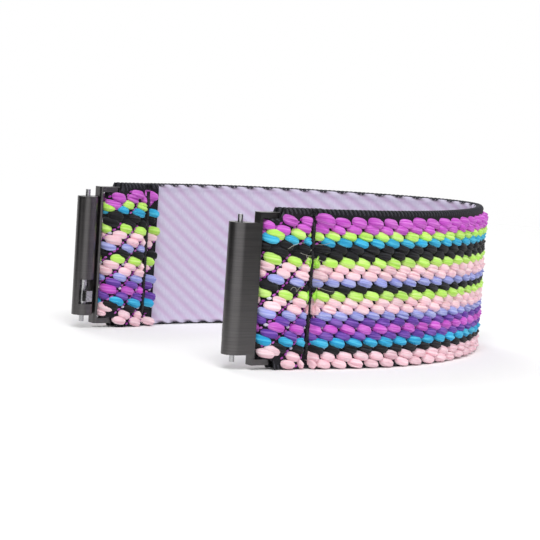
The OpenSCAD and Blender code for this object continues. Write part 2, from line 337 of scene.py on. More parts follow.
# The layers of the webbing, and the share of their thickness that the fold leaves
LINING_T = 0.35
GROUND_T = 1.0
FACE_AT = LINING_T + GROUND_T
YARN_T = 0.95
FOLD_SHARE = 0.7
# Height over the lining at which lengths are measured, and the spacing of the line's points
MID_T = 0.85
STEP = 0.25
print("seam", round(SEAM_RUN, 2), "mm from the bar, band", round(BAND_W, 2), "mm wide")

# %% Straights and arcs
FEWEST_STEPS = 8
# A bend that is tighter than this gets steps as if it were this wide
TIGHT_R = 3


def straight(p, q, heading, s0, s1):
    """Points from p to q, with the distance from the bar running from s0 to s1."""
    n = max(2, math.ceil(math.dist(p, q) / STEP))
    return [(p[0] + (q[0] - p[0]) * i / n, p[1] + (q[1] - p[1]) * i / n, heading,
             s0 + (s1 - s0) * i / n) for i in range(n)]


def turned_arc(centre, radius, h0, h1, s0, s1):
    """Points round a centre, from one heading to another."""
    n = max(FEWEST_STEPS, math.ceil(abs(h1 - h0) * max(radius, TIGHT_R) / STEP))
    points = []
    for i in range(n):
        heading = h0 + (h1 - h0) * i / n
        points.append((centre[0] + radius * math.sin(heading),
                       centre[1] - radius * math.cos(heading), heading,
                       s0 + (s1 - s0) * i / n))
    return points


half_turn = turned_arc((0, 0), FOLD_R, 0, math.pi, 0, math.pi * FOLD_R)
print("points on a half turn round the bar:", len(half_turn))

# %% The near half of the line
def fold_points():
    """Tail, fold and front ply, seen from the bar with the band along X."""
    lean = math.asin((FOLD_R - PLY_GAP / 2) / SEAM_RUN)
    half = PLY_GAP / 2
    touch = (FOLD_R * math.sin(lean), FOLD_R * math.cos(lean))
    tail = SEAM_RUN + TAIL_LEN
    return (straight((tail, half), (SEAM_RUN, half), -math.pi, -tail, -SEAM_RUN)
            + straight((SEAM_RUN, half), touch, -math.pi - lean, -SEAM_RUN, -touch[0])
            + turned_arc((0, 0), FOLD_R, -math.pi - lean, lean, -touch[0], touch[0])
            + straight((touch[0], -touch[1]), (SEAM_RUN, -half), lean, touch[0], SEAM_RUN)
            + straight((SEAM_RUN, -half), (LOOP_END, -half), 0, SEAM_RUN, LOOP_END))


def side_points():
    """Run, shoulder and half of the nose, in the frame, from the end of the fold."""
    cos, sin = math.cos(SIDE_LEAN), math.sin(SIDE_LEAN)
    run = (BAR[0] - PLY_GAP / 2 * sin + SIDE_RUN * cos,
           BAR[1] - PLY_GAP / 2 * cos - SIDE_RUN * sin)
    start = (run[0] - (SIDE_RUN - LOOP_END) * cos, run[1] + (SIDE_RUN - LOOP_END) * sin)
    centre = (run[0] + SHOULDER_R * sin, run[1] + SHOULDER_R * cos)
    end = SHOULDER_TURN - SIDE_LEAN
    nose_r = (SHOULDER_R * math.cos(end) - centre[1]) / math.cos(end)
    nose = (centre[0] + (SHOULDER_R - nose_r) * math.sin(end), 0)
    at_nose = SIDE_RUN + SHOULDER_R * SHOULDER_TURN
    half = at_nose + nose_r * (math.pi / 2 - end)
    return (straight(start, run, -SIDE_LEAN, LOOP_END, SIDE_RUN)
            + turned_arc(centre, SHOULDER_R, -SIDE_LEAN, end, SIDE_RUN, at_nose)
            + turned_arc(nose, nose_r, end, math.pi / 2, at_nose, half)
            + [(nose[0] + nose_r, 0, math.pi / 2, half)])


def near_half():
    """x, y, heading and distance from the bar for the whole near half."""
    cos, sin = math.cos(SIDE_LEAN), math.sin(SIDE_LEAN)
    fold = [(BAR[0] + x * cos + y * sin, BAR[1] - x * sin + y * cos, heading - SIDE_LEAN, s)
            for x, y, heading, s in fold_points()]
    return np.array(fold + side_points())


near = near_half()
HALF_S = near[-1, 3]
print("from the bar to the middle of the closed end:", round(HALF_S, 1), "mm")

# %% The whole line, with its lengths
# Where past the seam the webbing starts to regain its thickness, and over which length
FLARE_FROM, FLARE_LEN = 0.2, 1.5


def smoothstep(x):
    """0 below 0, 1 above 1, and smooth between."""
    x = np.clip(x, 0, 1)
    return x * x * (3 - 2 * x)


def from_bar(s):
    """Distance along the band from the nearer strap bar, on the front ply or on the tail."""
    return np.where(s > HALF_S, 2 * HALF_S - s, s)


def thickness_share(s):
    """The webbing is pressed thin in the fold, and regains its thickness past the seam."""
    return (FOLD_SHARE + (1 - FOLD_SHARE)
            * smoothstep((from_bar(s) - SEAM_RUN - FLARE_FROM) / FLARE_LEN))


far = near[::-1][1:] * np.array([1, -1, -1, -1]) + np.array([0, 0, math.pi, 2 * near[-1, 3]])
LINE = np.vstack([near, far])
share = thickness_share(LINE[:, 3])
middle = np.column_stack([LINE[:, 0] + MID_T * share * np.sin(LINE[:, 2]),
                          LINE[:, 1] - MID_T * share * np.cos(LINE[:, 2])])
LINE_Q = np.concatenate([[0], np.cumsum(np.hypot(*np.diff(middle, axis=0).T))])
TOTAL_Q = LINE_Q[-1]
print("length of the webbing with both folds:", round(TOTAL_Q, 1), "mm")

# %% [markdown]
# ## From the flat webbing to the frame
# It is easier to weave flat. A point of the flat webbing has a length q along
# it, a height t over the lining's surface, and its z across the width. One
# function bends such points onto the line. A curve modifier could do that too,
# but not what the fold and the seam do to real webbing: the fold gathers it
# between the ears of the connector, the stitches pull a groove, and the
# webbing swells beside it.

# %% Gather the fold between the ears
# The fold is drawn in by a share of its width, and its edges end at the ears' inner faces
GATHER_ZONE = (0.3, 3.2)
GATHER = 0.085
EAR_ZONE = (0.15, 0.95)
EAR_HALF = 10.6
EDGE_FROM = MID_Z - 1.15
# Past the ears the edges are pressed flat: where, how wide the change is, and how much
EAR_PASS = (1.0, 1.9)
EAR_OVERLAP = 0.1
EAR_BLEND = 0.35
EAR_TOP = 1.45
EAR_LIFT = 0.6


def near_bar(s, zone):
    """1 at the strap bar, and 0 past the end of a zone."""
    return 1 - smoothstep((np.abs(from_bar(s)) - zone[0]) / (zone[1] - zone[0]))


def gathered(z, s):
    """Height across the band: the fold draws it in, and its edges go between the ears."""
    d = z - MID_Z
    drawn = 1 - GATHER * near_bar(s, GATHER_ZONE)
    edge = MID_Z + (EAR_HALF - MID_Z) * near_bar(s, EAR_ZONE)
    past = (np.abs(d) - EDGE_FROM) / (MID_Z - EDGE_FROM)
    outer = EDGE_FROM * drawn + (edge - EDGE_FROM * drawn) * past
    return MID_Z + np.where(past > 0, np.sign(d) * outer, d * drawn)


def over_ears(t, z, s):
    """Past the bar the edges lie outside the ears, pressed flat against their round ends."""
    beside = (smoothstep((np.abs(z - MID_Z) - EAR_HALF + EAR_OVERLAP) / EAR_BLEND)
              * near_bar(s, EAR_PASS))
    return t + beside * EAR_LIFT * np.maximum(EAR_TOP - t, 0)


print("width in the fold:", round(2 * float(gathered(BAND_W, 0) - MID_Z), 2), "mm")

# %% Raise the yarn over the lining
# The yarn is flat where the fold meets the plate, and free again past that
FLAT_HALF, FLAT_FADE = 0.6, 1.2
# The seam's groove: its half width, how deep the yarn sinks, how far the ground is pulled in
GROOVE_W = 0.78
GROOVE_SUNK = 0.35
GROUND_PULL = 0.22
# The swell beside the seam, and the smaller one on the fold's side of it
SWELL_AT = 1.5
SWELL = 0.22
SWELL_W, SWELL_FOLD_W = 0.9, 0.8
SWELL_FOLD_SHARE = 0.5


def yarn_height(t, s):
    """Height over the lining, with the thin fold, the seam's groove and the swell past it."""
    s = from_bar(s)
    base = np.minimum(t, FACE_AT)
    yarn = np.maximum(t - FACE_AT, 0)
    share = thickness_share(s)
    free = smoothstep((np.abs(s) - FLAT_HALF) / FLAT_FADE)
    puff = FOLD_SHARE + (1 - FOLD_SHARE) * free
    d = np.abs(s) - SEAM_RUN
    groove = np.exp(-(d / GROOVE_W) ** 4)
    swell = (np.exp(-((d - SWELL_AT) / SWELL_W) ** 2)
             + SWELL_FOLD_SHARE * np.exp(-((d + SWELL_AT) / SWELL_FOLD_W) ** 2))
    sunk = GROOVE_SUNK * groove * (t > FACE_AT)
    return (base * share * (1 - GROUND_PULL * groove)
            + yarn * puff * (1 + SWELL * swell) * (1 - groove) - sunk)


for place, s in (("on the side", 2 * SIDE_RUN), ("beside the seam", SEAM_RUN + SWELL_AT)):
    height = yarn_height(FACE_AT + YARN_T, s)
    print("thickness", place + ":", round(float(height), 2), "mm")

# %% Bend flat points onto the line
def bend(q, t, z, gather=True):
    """Points in the frame, in millimetres, of flat points q, t, z."""
    x, y, heading, s = (np.interp(q, LINE_Q, LINE[:, i]) for i in range(4))
    if gather:
        z = gathered(z, s)
        t = over_ears(t, z, s)
    up = yarn_height(t, s)
    return np.column_stack([x + up * np.sin(heading), y - up * np.cos(heading), z])


def q_at(s):
    """Length along the webbing of the point at distance s from the bar of end a."""
    return float(np.interp(s, LINE[:, 3], LINE_Q))


def s_at(q):
    """Distance from the bar of end a of the point at length q along the webbing."""
    return np.interp(q, LINE_Q, LINE[:, 3])


print("from the tail's end to the strap bar:", round(q_at(0), 2), "mm")

# %% [markdown]
# ## Zones
# The webbing moves: its two sides flex against the back, and each side
# stretches towards its connector. A woven piece that crosses a joint has to
# bend with it, so the webbing is cut into seven zones. The sewn ends and the
# back each ride on one body. Between them lie a bend zone and a stretch zone,
# which keep their place in the mesh, and their weave lines up at the cuts.

# %% Name the zones
BEND_FROM, BEND_TO = 40.0, 51.0
CUTS = [0.0, q_at(LOOP_END), q_at(BEND_FROM), q_at(BEND_TO)]
CUTS += [TOTAL_Q - q for q in reversed(CUTS)]
ZONES = ["loop_a", "side_a", "bend_a", "back", "bend_b", "side_b", "loop_b"]


def zone_of(q):
    """Index of the zone that holds length q."""
    return np.clip(np.searchsorted(CUTS, q, side="right") - 1, 0, len(ZONES) - 1)


def ride_zone(piece, zone):
    """Hangs a piece of a sewn end or of the back on the body of its zone; a piece of a side or a
    bend is only baked in place.
    """
    if zone == "back" or zone.startswith("loop"):
        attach(piece, zone)
        return
    end = zone[-1]
    first, last, start, stop = (("side_" + end, "loop_" + end, BEND_FROM, LOOP_END)
                                if zone.startswith("side")
                                else ("back", "side_" + end, BEND_TO, BEND_FROM))
    points = [bend(np.array([q_at(s)]), MID_T, np.array([MID_Z]))[0] for s in (start, stop)]
    if end == "b":
        points = [p * np.array([1, -1, 1]) for p in points]
    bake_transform(piece)


def weave_in(piece, layer, zone):
    """Hides the CAD node that a woven piece takes the place of (for a bend, its side's), and
    hands the piece to ride_zone.
    """
    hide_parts(f"{layer}_{zone.replace('bend', 'side')}")
    ride_zone(piece, zone)


print("cuts at", [round(q, 1) for q in CUTS])

# %% [markdown]
# ## Meshes from arrays
# A weave has thousands of small shapes, and an object for each would be slow
# to make and to pose. So their points are worked out in numpy arrays and
# turned into one mesh for each zone. Extra values per point, such as the dye
# of a yarn, travel with the mesh as attributes, and the materials read them.

# %% Faces of tubes
def wall_faces(rings, around, start=0):
    """Quads of a tube's wall, ring by ring."""
    i, j = np.meshgrid(np.arange(rings - 1), np.arange(around), indexing="ij")
    k = (j + 1) % around
    return (start + np.stack([i * around + j, i * around + k, (i + 1) * around + k,
                              (i + 1) * around + j], -1)).reshape(-1, 4).tolist()


def tube_faces(rings, around):
    """A tube's wall, closed by a point at each end; the end points come last."""
    tip, last = rings * around, (rings - 1) * around
    return (wall_faces(rings, around)
            + [[tip, (m + 1) % around, m] for m in range(around)]
            + [[tip + 1, last + m, last + (m + 1) % around] for m in range(around)])


def capped_faces(rings, around, start=0):
    """A tube's wall with one flat face over each end."""
    last = start + (rings - 1) * around
    return (wall_faces(rings, around, start)
            + [[start + j for j in reversed(range(around))]]
            + [[last + j for j in range(around)]])


def repeat_faces(faces, count, stride):
    """The same faces for each of a number of equal shapes."""
    return [[v + n * stride for v in face] for n in range(count) for face in faces]


print("faces of a tube with 3 rings of 8:", len(tube_faces(3, 8)))

# %% Turn arrays into a piece
# Faces that meet at more than this keep a sharp edge between them
SHARP_ANGLE = math.radians(72)


def make_piece(name, points_mm, faces, finish, **values):
    """A mesh object from points in millimetres, with a material and point attributes."""
    mesh = bpy.data.meshes.new(name)
    mesh.from_pydata((np.asarray(points_mm) * MM).tolist(), [], faces)
    for key, array in values.items():
        kind = "FLOAT_COLOR" if array.shape[1] == 4 else "FLOAT_VECTOR"
        field = "color" if kind == "FLOAT_COLOR" else "vector"
        made = mesh.attributes.new(key, kind, "POINT")
        made.data.foreach_set(field, array.astype(np.float32).ravel())
    mesh.materials.append(finish)
    mesh.shade_smooth()
    mesh.set_sharp_from_angle(angle=SHARP_ANGLE)
    mesh.update()
    return new_object(name, mesh)


print("edges stay sharp over", round(math.degrees(SHARP_ANGLE)), "degrees")

# %% [markdown]
# ## The yarn
# The face is textured nylon: filaments crimped by heat, so that the yarn
# puffs up between its bindings and looks soft, with fine lines along it. It
# is dyed, not printed, so the colour goes through. The weave here is 22 rows,
# each of one dye. The material takes the dye from the mesh, and draws the
# filaments as a noise that is stretched along the yarn; a wave texture would
# look combed. A true filament is 0.02 mm thick, far under a pixel, so bundles
# of 0.3 mm are drawn instead.

# %% Make the yarn's finish
BUNDLE_MM = 0.30
BUNDLE_RUN_MM = 4.0
YARN_ROUGHNESS = 0.82


def yarn_finish():
    """Textured nylon yarn, in the dye of each float, with painted shade in the creases between
    its bundles and painted highlights on their crests.
    """
    finish, tree = new_finish("textured nylon yarn")
    dye = add(tree, "Attribute", attribute_name="dye")
    along = add(tree, "Attribute", attribute_name="yarn")
    lines = add(tree, "Mapping", {"Vector": along.outputs["Vector"],
                                  "Scale": (1 / BUNDLE_RUN_MM, 1 / BUNDLE_MM, 1)})
    bundle = add(tree, "TexNoise", {"Vector": lines.outputs["Vector"], "Scale": 1.0,
                                    "Detail": 3.0, "Roughness": 0.6})
    # Painted shade: where light is caught between the bundles, the dye is drawn deeper
    deep = add(tree, "Gamma", {"Color": dye.outputs["Color"], "Gamma": 1.8})
    crease_shade = add(tree, "MapRange", {"Value": bundle.outputs["Fac"], "From Min": 0.3,
                                     "From Max": 0.6, "To Min": 0.9, "To Max": 0.0})
    colour = add(tree, "Mix", {"Factor": crease_shade.outputs["Result"], "A": dye.outputs["Color"],
                               "B": deep.outputs["Color"]}, data_type="RGBA")
    # Painted highlight: on the crests of the bundles, where their fuzz scatters light, the dye is
    # drawn paler
    painted_highlight = add(tree, "Gamma", {"Color": dye.outputs["Color"], "Gamma": 0.6})
    crests = add(tree, "MapRange", {"Value": bundle.outputs["Fac"], "From Min": 0.48,
                                    "From Max": 0.72, "To Min": 0.0, "To Max": 0.6})
    lit = add(tree, "Mix", {"Factor": crests.outputs["Result"], "A": colour.outputs["Result"],
                            "B": painted_highlight.outputs["Color"]}, data_type="RGBA")
    bump = add(tree, "Bump", {"Height": bundle.outputs["Fac"], "Strength": 0.9,
                              "Distance": 0.12 * MM})
    shader = add(tree, "BsdfPrincipled", {
        "Base Color": lit.outputs["Result"], "Roughness": YARN_ROUGHNESS,
        "Specular IOR Level": 0.3, "Sheen Weight": 0.08, "Sheen Roughness": 0.5,
        "Normal": bump.outputs["Normal"]})
    add(tree, "OutputMaterial", {"Surface": shader.outputs[0]})
    return finish


YARN = yarn_finish()
print("finish:", YARN.name)

# %% [markdown]
# ## The rows
# Each row is a thick yarn that floats over the ground weave and dips under it
# again, so it shows as a string of puffed lenses. The dips of each row lie a
# little further back than those of the row above, which gives the slanting
# lines of a twill. The pitch is 3 mm where the webbing is slack and a little
# more where it is pulled round the wrist. Some rows stand prouder than others,
# so their floats lie over their neighbours. Near the fold whole floats shift:
# all rows rise a little, and the ears push the outer ones in.

# %% Name the dyes and the rows
DYES = {
    "magenta": "#d26ad3", "lime": "#c8f07a", "azure": "#3eb8df", "black": "#141418",
    "pink": "#f8d6de", "periwinkle": "#a8aee4", "purple": "#7a4eb2"}
ROWS = [
    # dye, width of a float and how far it stands proud, in mm, from the top row down
    ("magenta", 1.58, 0.04),
    ("magenta", 1.42, -0.05),
    ("lime", 1.52, 0.05),
    ("azure", 1.42, -0.03),
    ("black", 1.50, -0.08),
    ("black", 1.50, -0.04),
    ("lime", 1.62, 0.06),
    ("pink", 1.42, -0.025),
    ("pink", 1.52, 0.04),
    ("periwinkle", 1.38, -0.01),
    ("black", 1.36, -0.08),
    ("lime", 1.52, 0.06),
    ("pink", 1.42, -0.03),
    ("pink", 1.52, 0.04),
    ("periwinkle", 1.42, -0.01),
    ("purple", 1.38, -0.06),
    ("magenta", 1.50, 0.04),
    ("purple", 1.42, -0.03),
    ("azure", 1.52, 0.05),
    ("black", 1.40, -0.08),
    ("pink", 1.50, 0.01),
    ("pink", 1.42, 0.04),
]
LAST_ROW = len(ROWS) - 1
print("rows:", len(ROWS), "in", len(DYES), "dyes")

# %% Place the rows across the band
# The edge over the first row, the rows' pitch, and how much lower the last two rows lie
TOP_EDGE = 1.47
ROW_PITCH = 1.02
LAST_ROWS_DROP = {20: 0.05, 21: 0.18}
FOLD_Q = q_at(0)
# Near the fold the rows rise, and the ears push the outer ones in. Each value is in mm, with
# the distances from the fold up to which it is whole and at which it has ended
FOLD_LIFT = (0.5, 1.5, 6.0)
TOP_PUSH = (1.1, 2.2, 5.0)
BOTTOM_PUSH = (1.25, 1.8, 3.2)
# Heights from the middle at which the push starts, and the width over which it grows
TOP_FROM, BOTTOM_FROM, PUSH_W = 7.0, -8.5, 2.5
# Past the fold the upper rows spread: how far from it, over which length, and how much
SPREAD_AT, SPREAD_W, SPREAD = 4.0, 1.9, 0.04


def row_z(row):
    """Height of a row's middle."""
    return BAND_W - TOP_EDGE - (row + 0.5) * ROW_PITCH - LAST_ROWS_DROP.get(row, 0)


def fading(away, size, whole, none):
    """A size that is whole up to one distance, and has faded out at another."""
    return size * (1 - float(smoothstep((away - whole) / (none - whole))))


def drawn_z(row, q):
    """Height of one float's middle: the fold shifts whole floats, and past it they spread."""
    d = row_z(row) - MID_Z
    away = min(abs(q - FOLD_Q), abs(TOTAL_Q - FOLD_Q - q))
    lift = fading(away, *FOLD_LIFT)
    down = fading(away, *TOP_PUSH) * float(smoothstep((d - TOP_FROM) / PUSH_W))
    up = fading(away, *BOTTOM_PUSH) * float(smoothstep((BOTTOM_FROM - d) / PUSH_W))
    spread = SPREAD * math.exp(-((away - SPREAD_AT) / SPREAD_W) ** 2) * max(d, 0)
    return MID_Z + d + lift - down + up + spread


for row in (0, LAST_ROW):
    print("row", row, "lies", round(row_z(row), 2), "mm up, and in the fold",
          round(drawn_z(row, FOLD_Q), 2), "mm")

# %% The weave's own coordinate
# Length of a float with its dip: slack, pulled round the wrist, and in the fold. The pairs
# are distances from the bar, between which the pull grows and the fold's share ends
PITCH = 2.98
PULLED_PITCH, PULLED = 3.42, (17.0, 31.0)
FOLD_PITCH, FOLD_ZONE = 3.7, (2.6, 6.5)
# How far the dips of a row lie behind those of the row above, in pitches
TWILL_SHIFT = 0.27
# The row and the distance from the bar at which the count of the floats starts
ANCHOR_ROW, ANCHOR_S = 6, 12.5
# Every float's middle stays this far from the webbing's ends, in pitches
END_ROOM = 0.1


def pitch_at(s):
    """Length of one float and one dip."""
    pulled = smoothstep((from_bar(s) - PULLED[0]) / (PULLED[1] - PULLED[0]))
    return (PITCH + (PULLED_PITCH - PITCH) * pulled
            + (FOLD_PITCH - PITCH) * near_bar(s, FOLD_ZONE))


steps = np.diff(LINE_Q) / pitch_at((LINE[1:, 3] + LINE[:-1, 3]) / 2)
LINE_W = np.concatenate([[0], np.cumsum(steps)])
LINE_W -= np.interp(q_at(ANCHOR_S), LINE_Q, LINE_W)


def q_of_weave(w):
    """Length along the webbing of a place in the weave, counted in floats."""
    return np.interp(w, LINE_W, LINE_Q)


def weave_of_q(q):
    """Place in the weave of a length along the webbing."""
    return np.interp(q, LINE_Q, LINE_W)


def row_places(row, half_step=0.0):
    """Middles of a row's floats, or of its dips with a half step."""
    phase = -TWILL_SHIFT * (row - ANCHOR_ROW) + half_step
    first = math.ceil(LINE_W[0] - phase + END_ROOM)
    last = math.floor(LINE_W[-1] - phase - END_ROOM)
    return np.arange(first, last + 1) + phase


print("floats in the upper row:", len(row_places(0)))

# %% [markdown]
# ## One float
# A float is a closed lens: pointed where it dips, widest in the middle, with
# soft lobes along it where the filaments bunch up. An array modifier would
# repeat one float exactly, and the eye finds that at once. So every float is
# drawn from the same rings of points, with its own size, tilt and lobes from a
# seeded random generator, and is then bent onto the band.

# %% Lay points on a lens
def lens_grid(rings, around):
    """Places on a lens, ring by ring with both tips last: -1 to 1 along it, and the angle."""
    reach = -np.cos(np.pi * np.arange(1, rings + 1) / (rings + 1))
    angle = 2 * np.pi * np.arange(around) / around
    return (np.concatenate([np.repeat(reach, around), [-1, 1]]),
            np.concatenate([np.tile(angle, rings), [0, 0]]))


FLOAT_RINGS, FLOAT_AROUND = 11, 26
REACH, ANGLE = lens_grid(FLOAT_RINGS, FLOAT_AROUND)
FLOAT_FACES = tube_faces(FLOAT_RINGS, FLOAT_AROUND)
print("points of one float:", len(REACH))

# %% Shape one float
# Its outlines from above and from the side. The larger the first power, the blunter the
# tips, and the smaller the second, the fuller the middle
WIDE_POWERS = (3.2, 0.62)
TALL_POWERS = (2.8, 0.58)
CROWN_POWER = 0.85
# From five to eight lobes, their depth as a share, and their twist from tip to middle
LOBES = (5, 9)
LOBE_DEPTH, LOBE_TWIST = 0.055, 0.7
# A crease along the crown: its depth as a share, its place in half turns, and its width
CREASES = [0.0, 0.10, 0.22, 0.34]
CREASE_PLACE = (0.25, 0.75)
CREASE_W = 0.22
# How askew a float is, in pitches, and how far its tips lean across the row
SKEW = 0.015
TILT_MM, TILT_RANGE = 0.26, (0.7, 1.3)
# How deep a float sits in the ground, how thick it is under its middle, and how its tips dip
FLOAT_SUNK = 0.16
BELLY_MM = 0.25
TIP_DIP, TIP_POWER = 0.3, 5


def outline(powers):
    """Outline of a lens along it: 0 at its tips, and 1 in its middle."""
    return (1 - np.abs(REACH) ** powers[0]) ** powers[1]


def float_shape(rng, length, width, height):
    """Flat points of one float round its middle: along in pitches, across and up in mm."""
    wide, tall = outline(WIDE_POWERS), outline(TALL_POWERS)
    turn, lobes = rng.uniform(0, 2 * np.pi), rng.integers(*LOBES)
    ripple = 1 + LOBE_DEPTH * np.cos(lobes * ANGLE + turn + LOBE_TWIST * REACH) * wide
    crease_at = rng.uniform(*CREASE_PLACE) * np.pi
    crease = rng.choice(CREASES) * np.exp(-((ANGLE - crease_at) / CREASE_W) ** 2)
    along = REACH * length / 2 + rng.normal(0, SKEW) * np.cos(ANGLE) * wide
    tilt = TILT_MM * REACH * rng.uniform(*TILT_RANGE)
    across = width / 2 * wide * np.cos(ANGLE) * ripple - tilt
    rise = np.sin(ANGLE)
    crown = height * tall * np.abs(rise) ** CROWN_POWER * ripple * (1 - crease * wide)
    up = np.where(rise > 0, crown, -BELLY_MM * tall * np.abs(rise))
    return along, across, up - FLOAT_SUNK - TIP_DIP * np.abs(REACH) ** TIP_POWER


halfway = (1 - 0.5 ** WIDE_POWERS[0]) ** WIDE_POWERS[1]
print("width halfway to the tips, as a share:", round(halfway, 2))

# %% Cut floats at the seam
FLOAT_LEN = 1.0
# The seam cuts a float of the last row that lies nearer than this, in pitches. What is left
# keeps this far from the thread, and is dropped when it is shorter than the last value
SEAM_NEAR, SEAM_HALF, SHORTEST = 0.45, 0.13, 0.15
SEAMS_W = [float(weave_of_q(q)) for s in (-SEAM_RUN, SEAM_RUN)
           for q in (q_at(s), TOTAL_Q - q_at(s))]


def parts_of(row, w):
    """Middle and length of a float in pitches; a seam cuts a float of the last row in two."""
    whole = [(w, FLOAT_LEN)]
    if row < LAST_ROW:
        return whole
    for seam in SEAMS_W:
        if abs(w - seam) < SEAM_NEAR:
            ends = [(w - FLOAT_LEN / 2, seam - SEAM_HALF), (seam + SEAM_HALF, w + FLOAT_LEN / 2)]
            return [((a + b) / 2, b - a) for a, b in ends if b - a > SHORTEST]
    return whole


print("floats of the last row, cut ones counted twice:",
      sum(len(parts_of(LAST_ROW, w)) for w in row_places(LAST_ROW)))

# %% Keep what belongs to a shape together
# Each yarn takes its own slice of the noise, from 0 up to this depth
NOISE_DEPTH = 50


def woven_shape(w, q, t, z, yarn, colour):
    """Flat points of one small shape, with its yarn coordinates, its dye and its zone."""
    return {"q": q, "t": t, "z": z, "yarn": yarn, "dye": np.tile(colour, (len(z), 1)),
            "zone": int(zone_of(q_of_weave(w)))}


print("the count of the floats starts in", ZONES[int(zone_of(q_of_weave(0)))])

# %% Weave the floats
# Near the seam the floats are a little shorter: where, and by which share
SHORT_ZONE, SHORT_SHARE = (4.5, 8.5), 0.06
# The first float of the upper row past the seam bulges: by how much, how high, from where
BULGE, BULGE_RAISED, BULGE_FROM = 1.32, 0.22, 0.4
# Standard deviations from float to float: four shares, a place in pitches and one in mm
VARY = {"length": 0.03, "width": 0.04, "height": 0.05, "dye": 0.05, "along": 0.018,
        "across": 0.03}
SEED = 22


def weave_float(rng, row, w, part):
    """One float, with its middle at w and its length given in pitches."""
    dye, row_width, proud = ROWS[row]
    s = float(s_at(q_of_weave(w)))
    short = 1 - SHORT_SHARE * float(near_bar(s, SHORT_ZONE))
    # In the fold a float keeps its length, and the longer pitch sets it apart from the next
    apart = float(near_bar(s, FOLD_ZONE) * (1 - PITCH / pitch_at(s)))
    length = part * short * (1 - apart) * rng.normal(1, VARY["length"])
    width = row_width * rng.normal(1, VARY["width"])
    height = (YARN_T + FLOAT_SUNK + proud) * rng.normal(1, VARY["height"])
    raised = 0.0
    if row == 0 and BULGE_FROM < float(from_bar(s)) - SEAM_RUN < BULGE_FROM + PITCH:
        width, height, raised = BULGE * width, BULGE * height, BULGE_RAISED
    along, across, up = float_shape(rng, length, width, height)
    q = q_of_weave(w + rng.normal(0, VARY["along"]) + along)
    middle_z = drawn_z(row, float(q_of_weave(w))) + raised + rng.normal(0, VARY["across"])
    tint = np.array(linear(DYES[dye]))
    tint[:3] *= rng.normal(1, VARY["dye"])
    yarn = np.column_stack([along * PITCH, (ANGLE - np.pi) * width / 2,
                            np.full(len(ANGLE), rng.uniform(0, NOISE_DEPTH))])
    return woven_shape(w, q, FACE_AT + up, middle_z + across, yarn, tint)


rng = np.random.default_rng(SEED)
FLOATS = [weave_float(rng, row, w, part) for row in range(len(ROWS))
          for place in row_places(row) for w, part in parts_of(row, place)]
print("floats:", len(FLOATS))

# %% [markdown]
# ## The binding threads
# A thin thread ties every dip down. It crosses the rows on a slant, over each
# dip and under each float, and shows as small bright beads where the floats
# are pulled apart: most of all beside the seam. Beside a few of the rows, the
# thread of the lining comes up instead, and leaves a wider pale bead.

# %% Shape one bead
BEAD_RINGS, BEAD_AROUND = 5, 8
BEAD_REACH, BEAD_ANGLE = lens_grid(BEAD_RINGS, BEAD_AROUND)
BEAD_FACES = tube_faces(BEAD_RINGS, BEAD_AROUND)
BEAD_HALF_LEN = 0.24
BEAD_LIFT = 0.14
SLANT = math.atan2(ROW_PITCH, TWILL_SHIFT * PITCH)


def bead_shape(place, radius):
    """Flat points of one bead over a dip: along in pitches, across and up in mm."""
    thin = radius * np.sqrt(1 - BEAD_REACH ** 2)
    length, side = BEAD_HALF_LEN * BEAD_REACH, thin * np.cos(BEAD_ANGLE)
    along = length * math.cos(SLANT) + side * math.sin(SLANT)
    across = length * math.sin(SLANT) - side * math.cos(SLANT)
    return (TWILL_SHIFT * place + along / PITCH, ROW_PITCH * place + across,
            BEAD_LIFT + thin * np.sin(BEAD_ANGLE))


print("slant of the binding threads:", round(math.degrees(SLANT)), "degrees")

# %% Weave the beads
# Two beads show at a dip, at these places from the row's middle, in rows
BEAD_PLACES = (-0.26, 0.24)
BEAD_R, PALE_R = 0.16, 0.25
MAGENTA_BEADS = ["#b84fba", "#a945ad", "#c76fc6"]
PALE_BEAD = "#d9d3e2"
PALE_ROWS = (7, 12, 16, 19)
# The upper black row has no beads, and the lower one only those under it. In the last row
# none show this near to the bar
BLACK_PAIR = (4, 5)
LAST_BEAD_FROM = 3.0
# Past the seam the beads sink between the floats: how deep, and over which distances
BEAD_SINK, BEAD_SINK_ZONE = 0.24, (5.5, 10.5)
BEAD_VARY = {"along": 0.025, "across": 0.05}


def is_hidden(row, w, place):
    """Whether a bead doesn't show."""
    if row == LAST_ROW and abs(float(from_bar(s_at(q_of_weave(w))))) < LAST_BEAD_FROM:
        return True
    return row == BLACK_PAIR[0] or (row == BLACK_PAIR[1] and place > 0)


def weave_bead(rng, row, w, place):
    """One bead over the dip at w."""
    pale = row in PALE_ROWS and place > 0
    colour = PALE_BEAD if pale else MAGENTA_BEADS[rng.integers(len(MAGENTA_BEADS))]
    along, across, up = bead_shape(place, PALE_R if pale else BEAD_R)
    q = q_of_weave(w + along + rng.normal(0, BEAD_VARY["along"]))
    across = across + rng.normal(0, BEAD_VARY["across"])
    yarn = np.column_stack([across, along, np.full(len(across), rng.uniform(0, NOISE_DEPTH))])
    sink = BEAD_SINK * (1 - float(near_bar(s_at(q_of_weave(w)), BEAD_SINK_ZONE)))
    z = drawn_z(row, float(q_of_weave(w))) + across
    return woven_shape(w, q, FACE_AT + up - sink, z, yarn, linear(colour))


BEADS = [weave_bead(rng, row, w, place) for row in range(len(ROWS))
         for w in row_places(row, 0.5) for place in BEAD_PLACES
         if not is_hidden(row, w, place)]
print("beads of the binding threads:", len(BEADS))

# %% Bend the rows onto the band
def gather_shapes(shapes, faces):
    """One set of arrays from many equal shapes."""
    flat = {key: np.concatenate([shape[key] for shape in shapes])
            for key in ("q", "t", "z", "yarn", "dye")}
    return flat, repeat_faces(faces, len(shapes), len(shapes[0]["q"]))


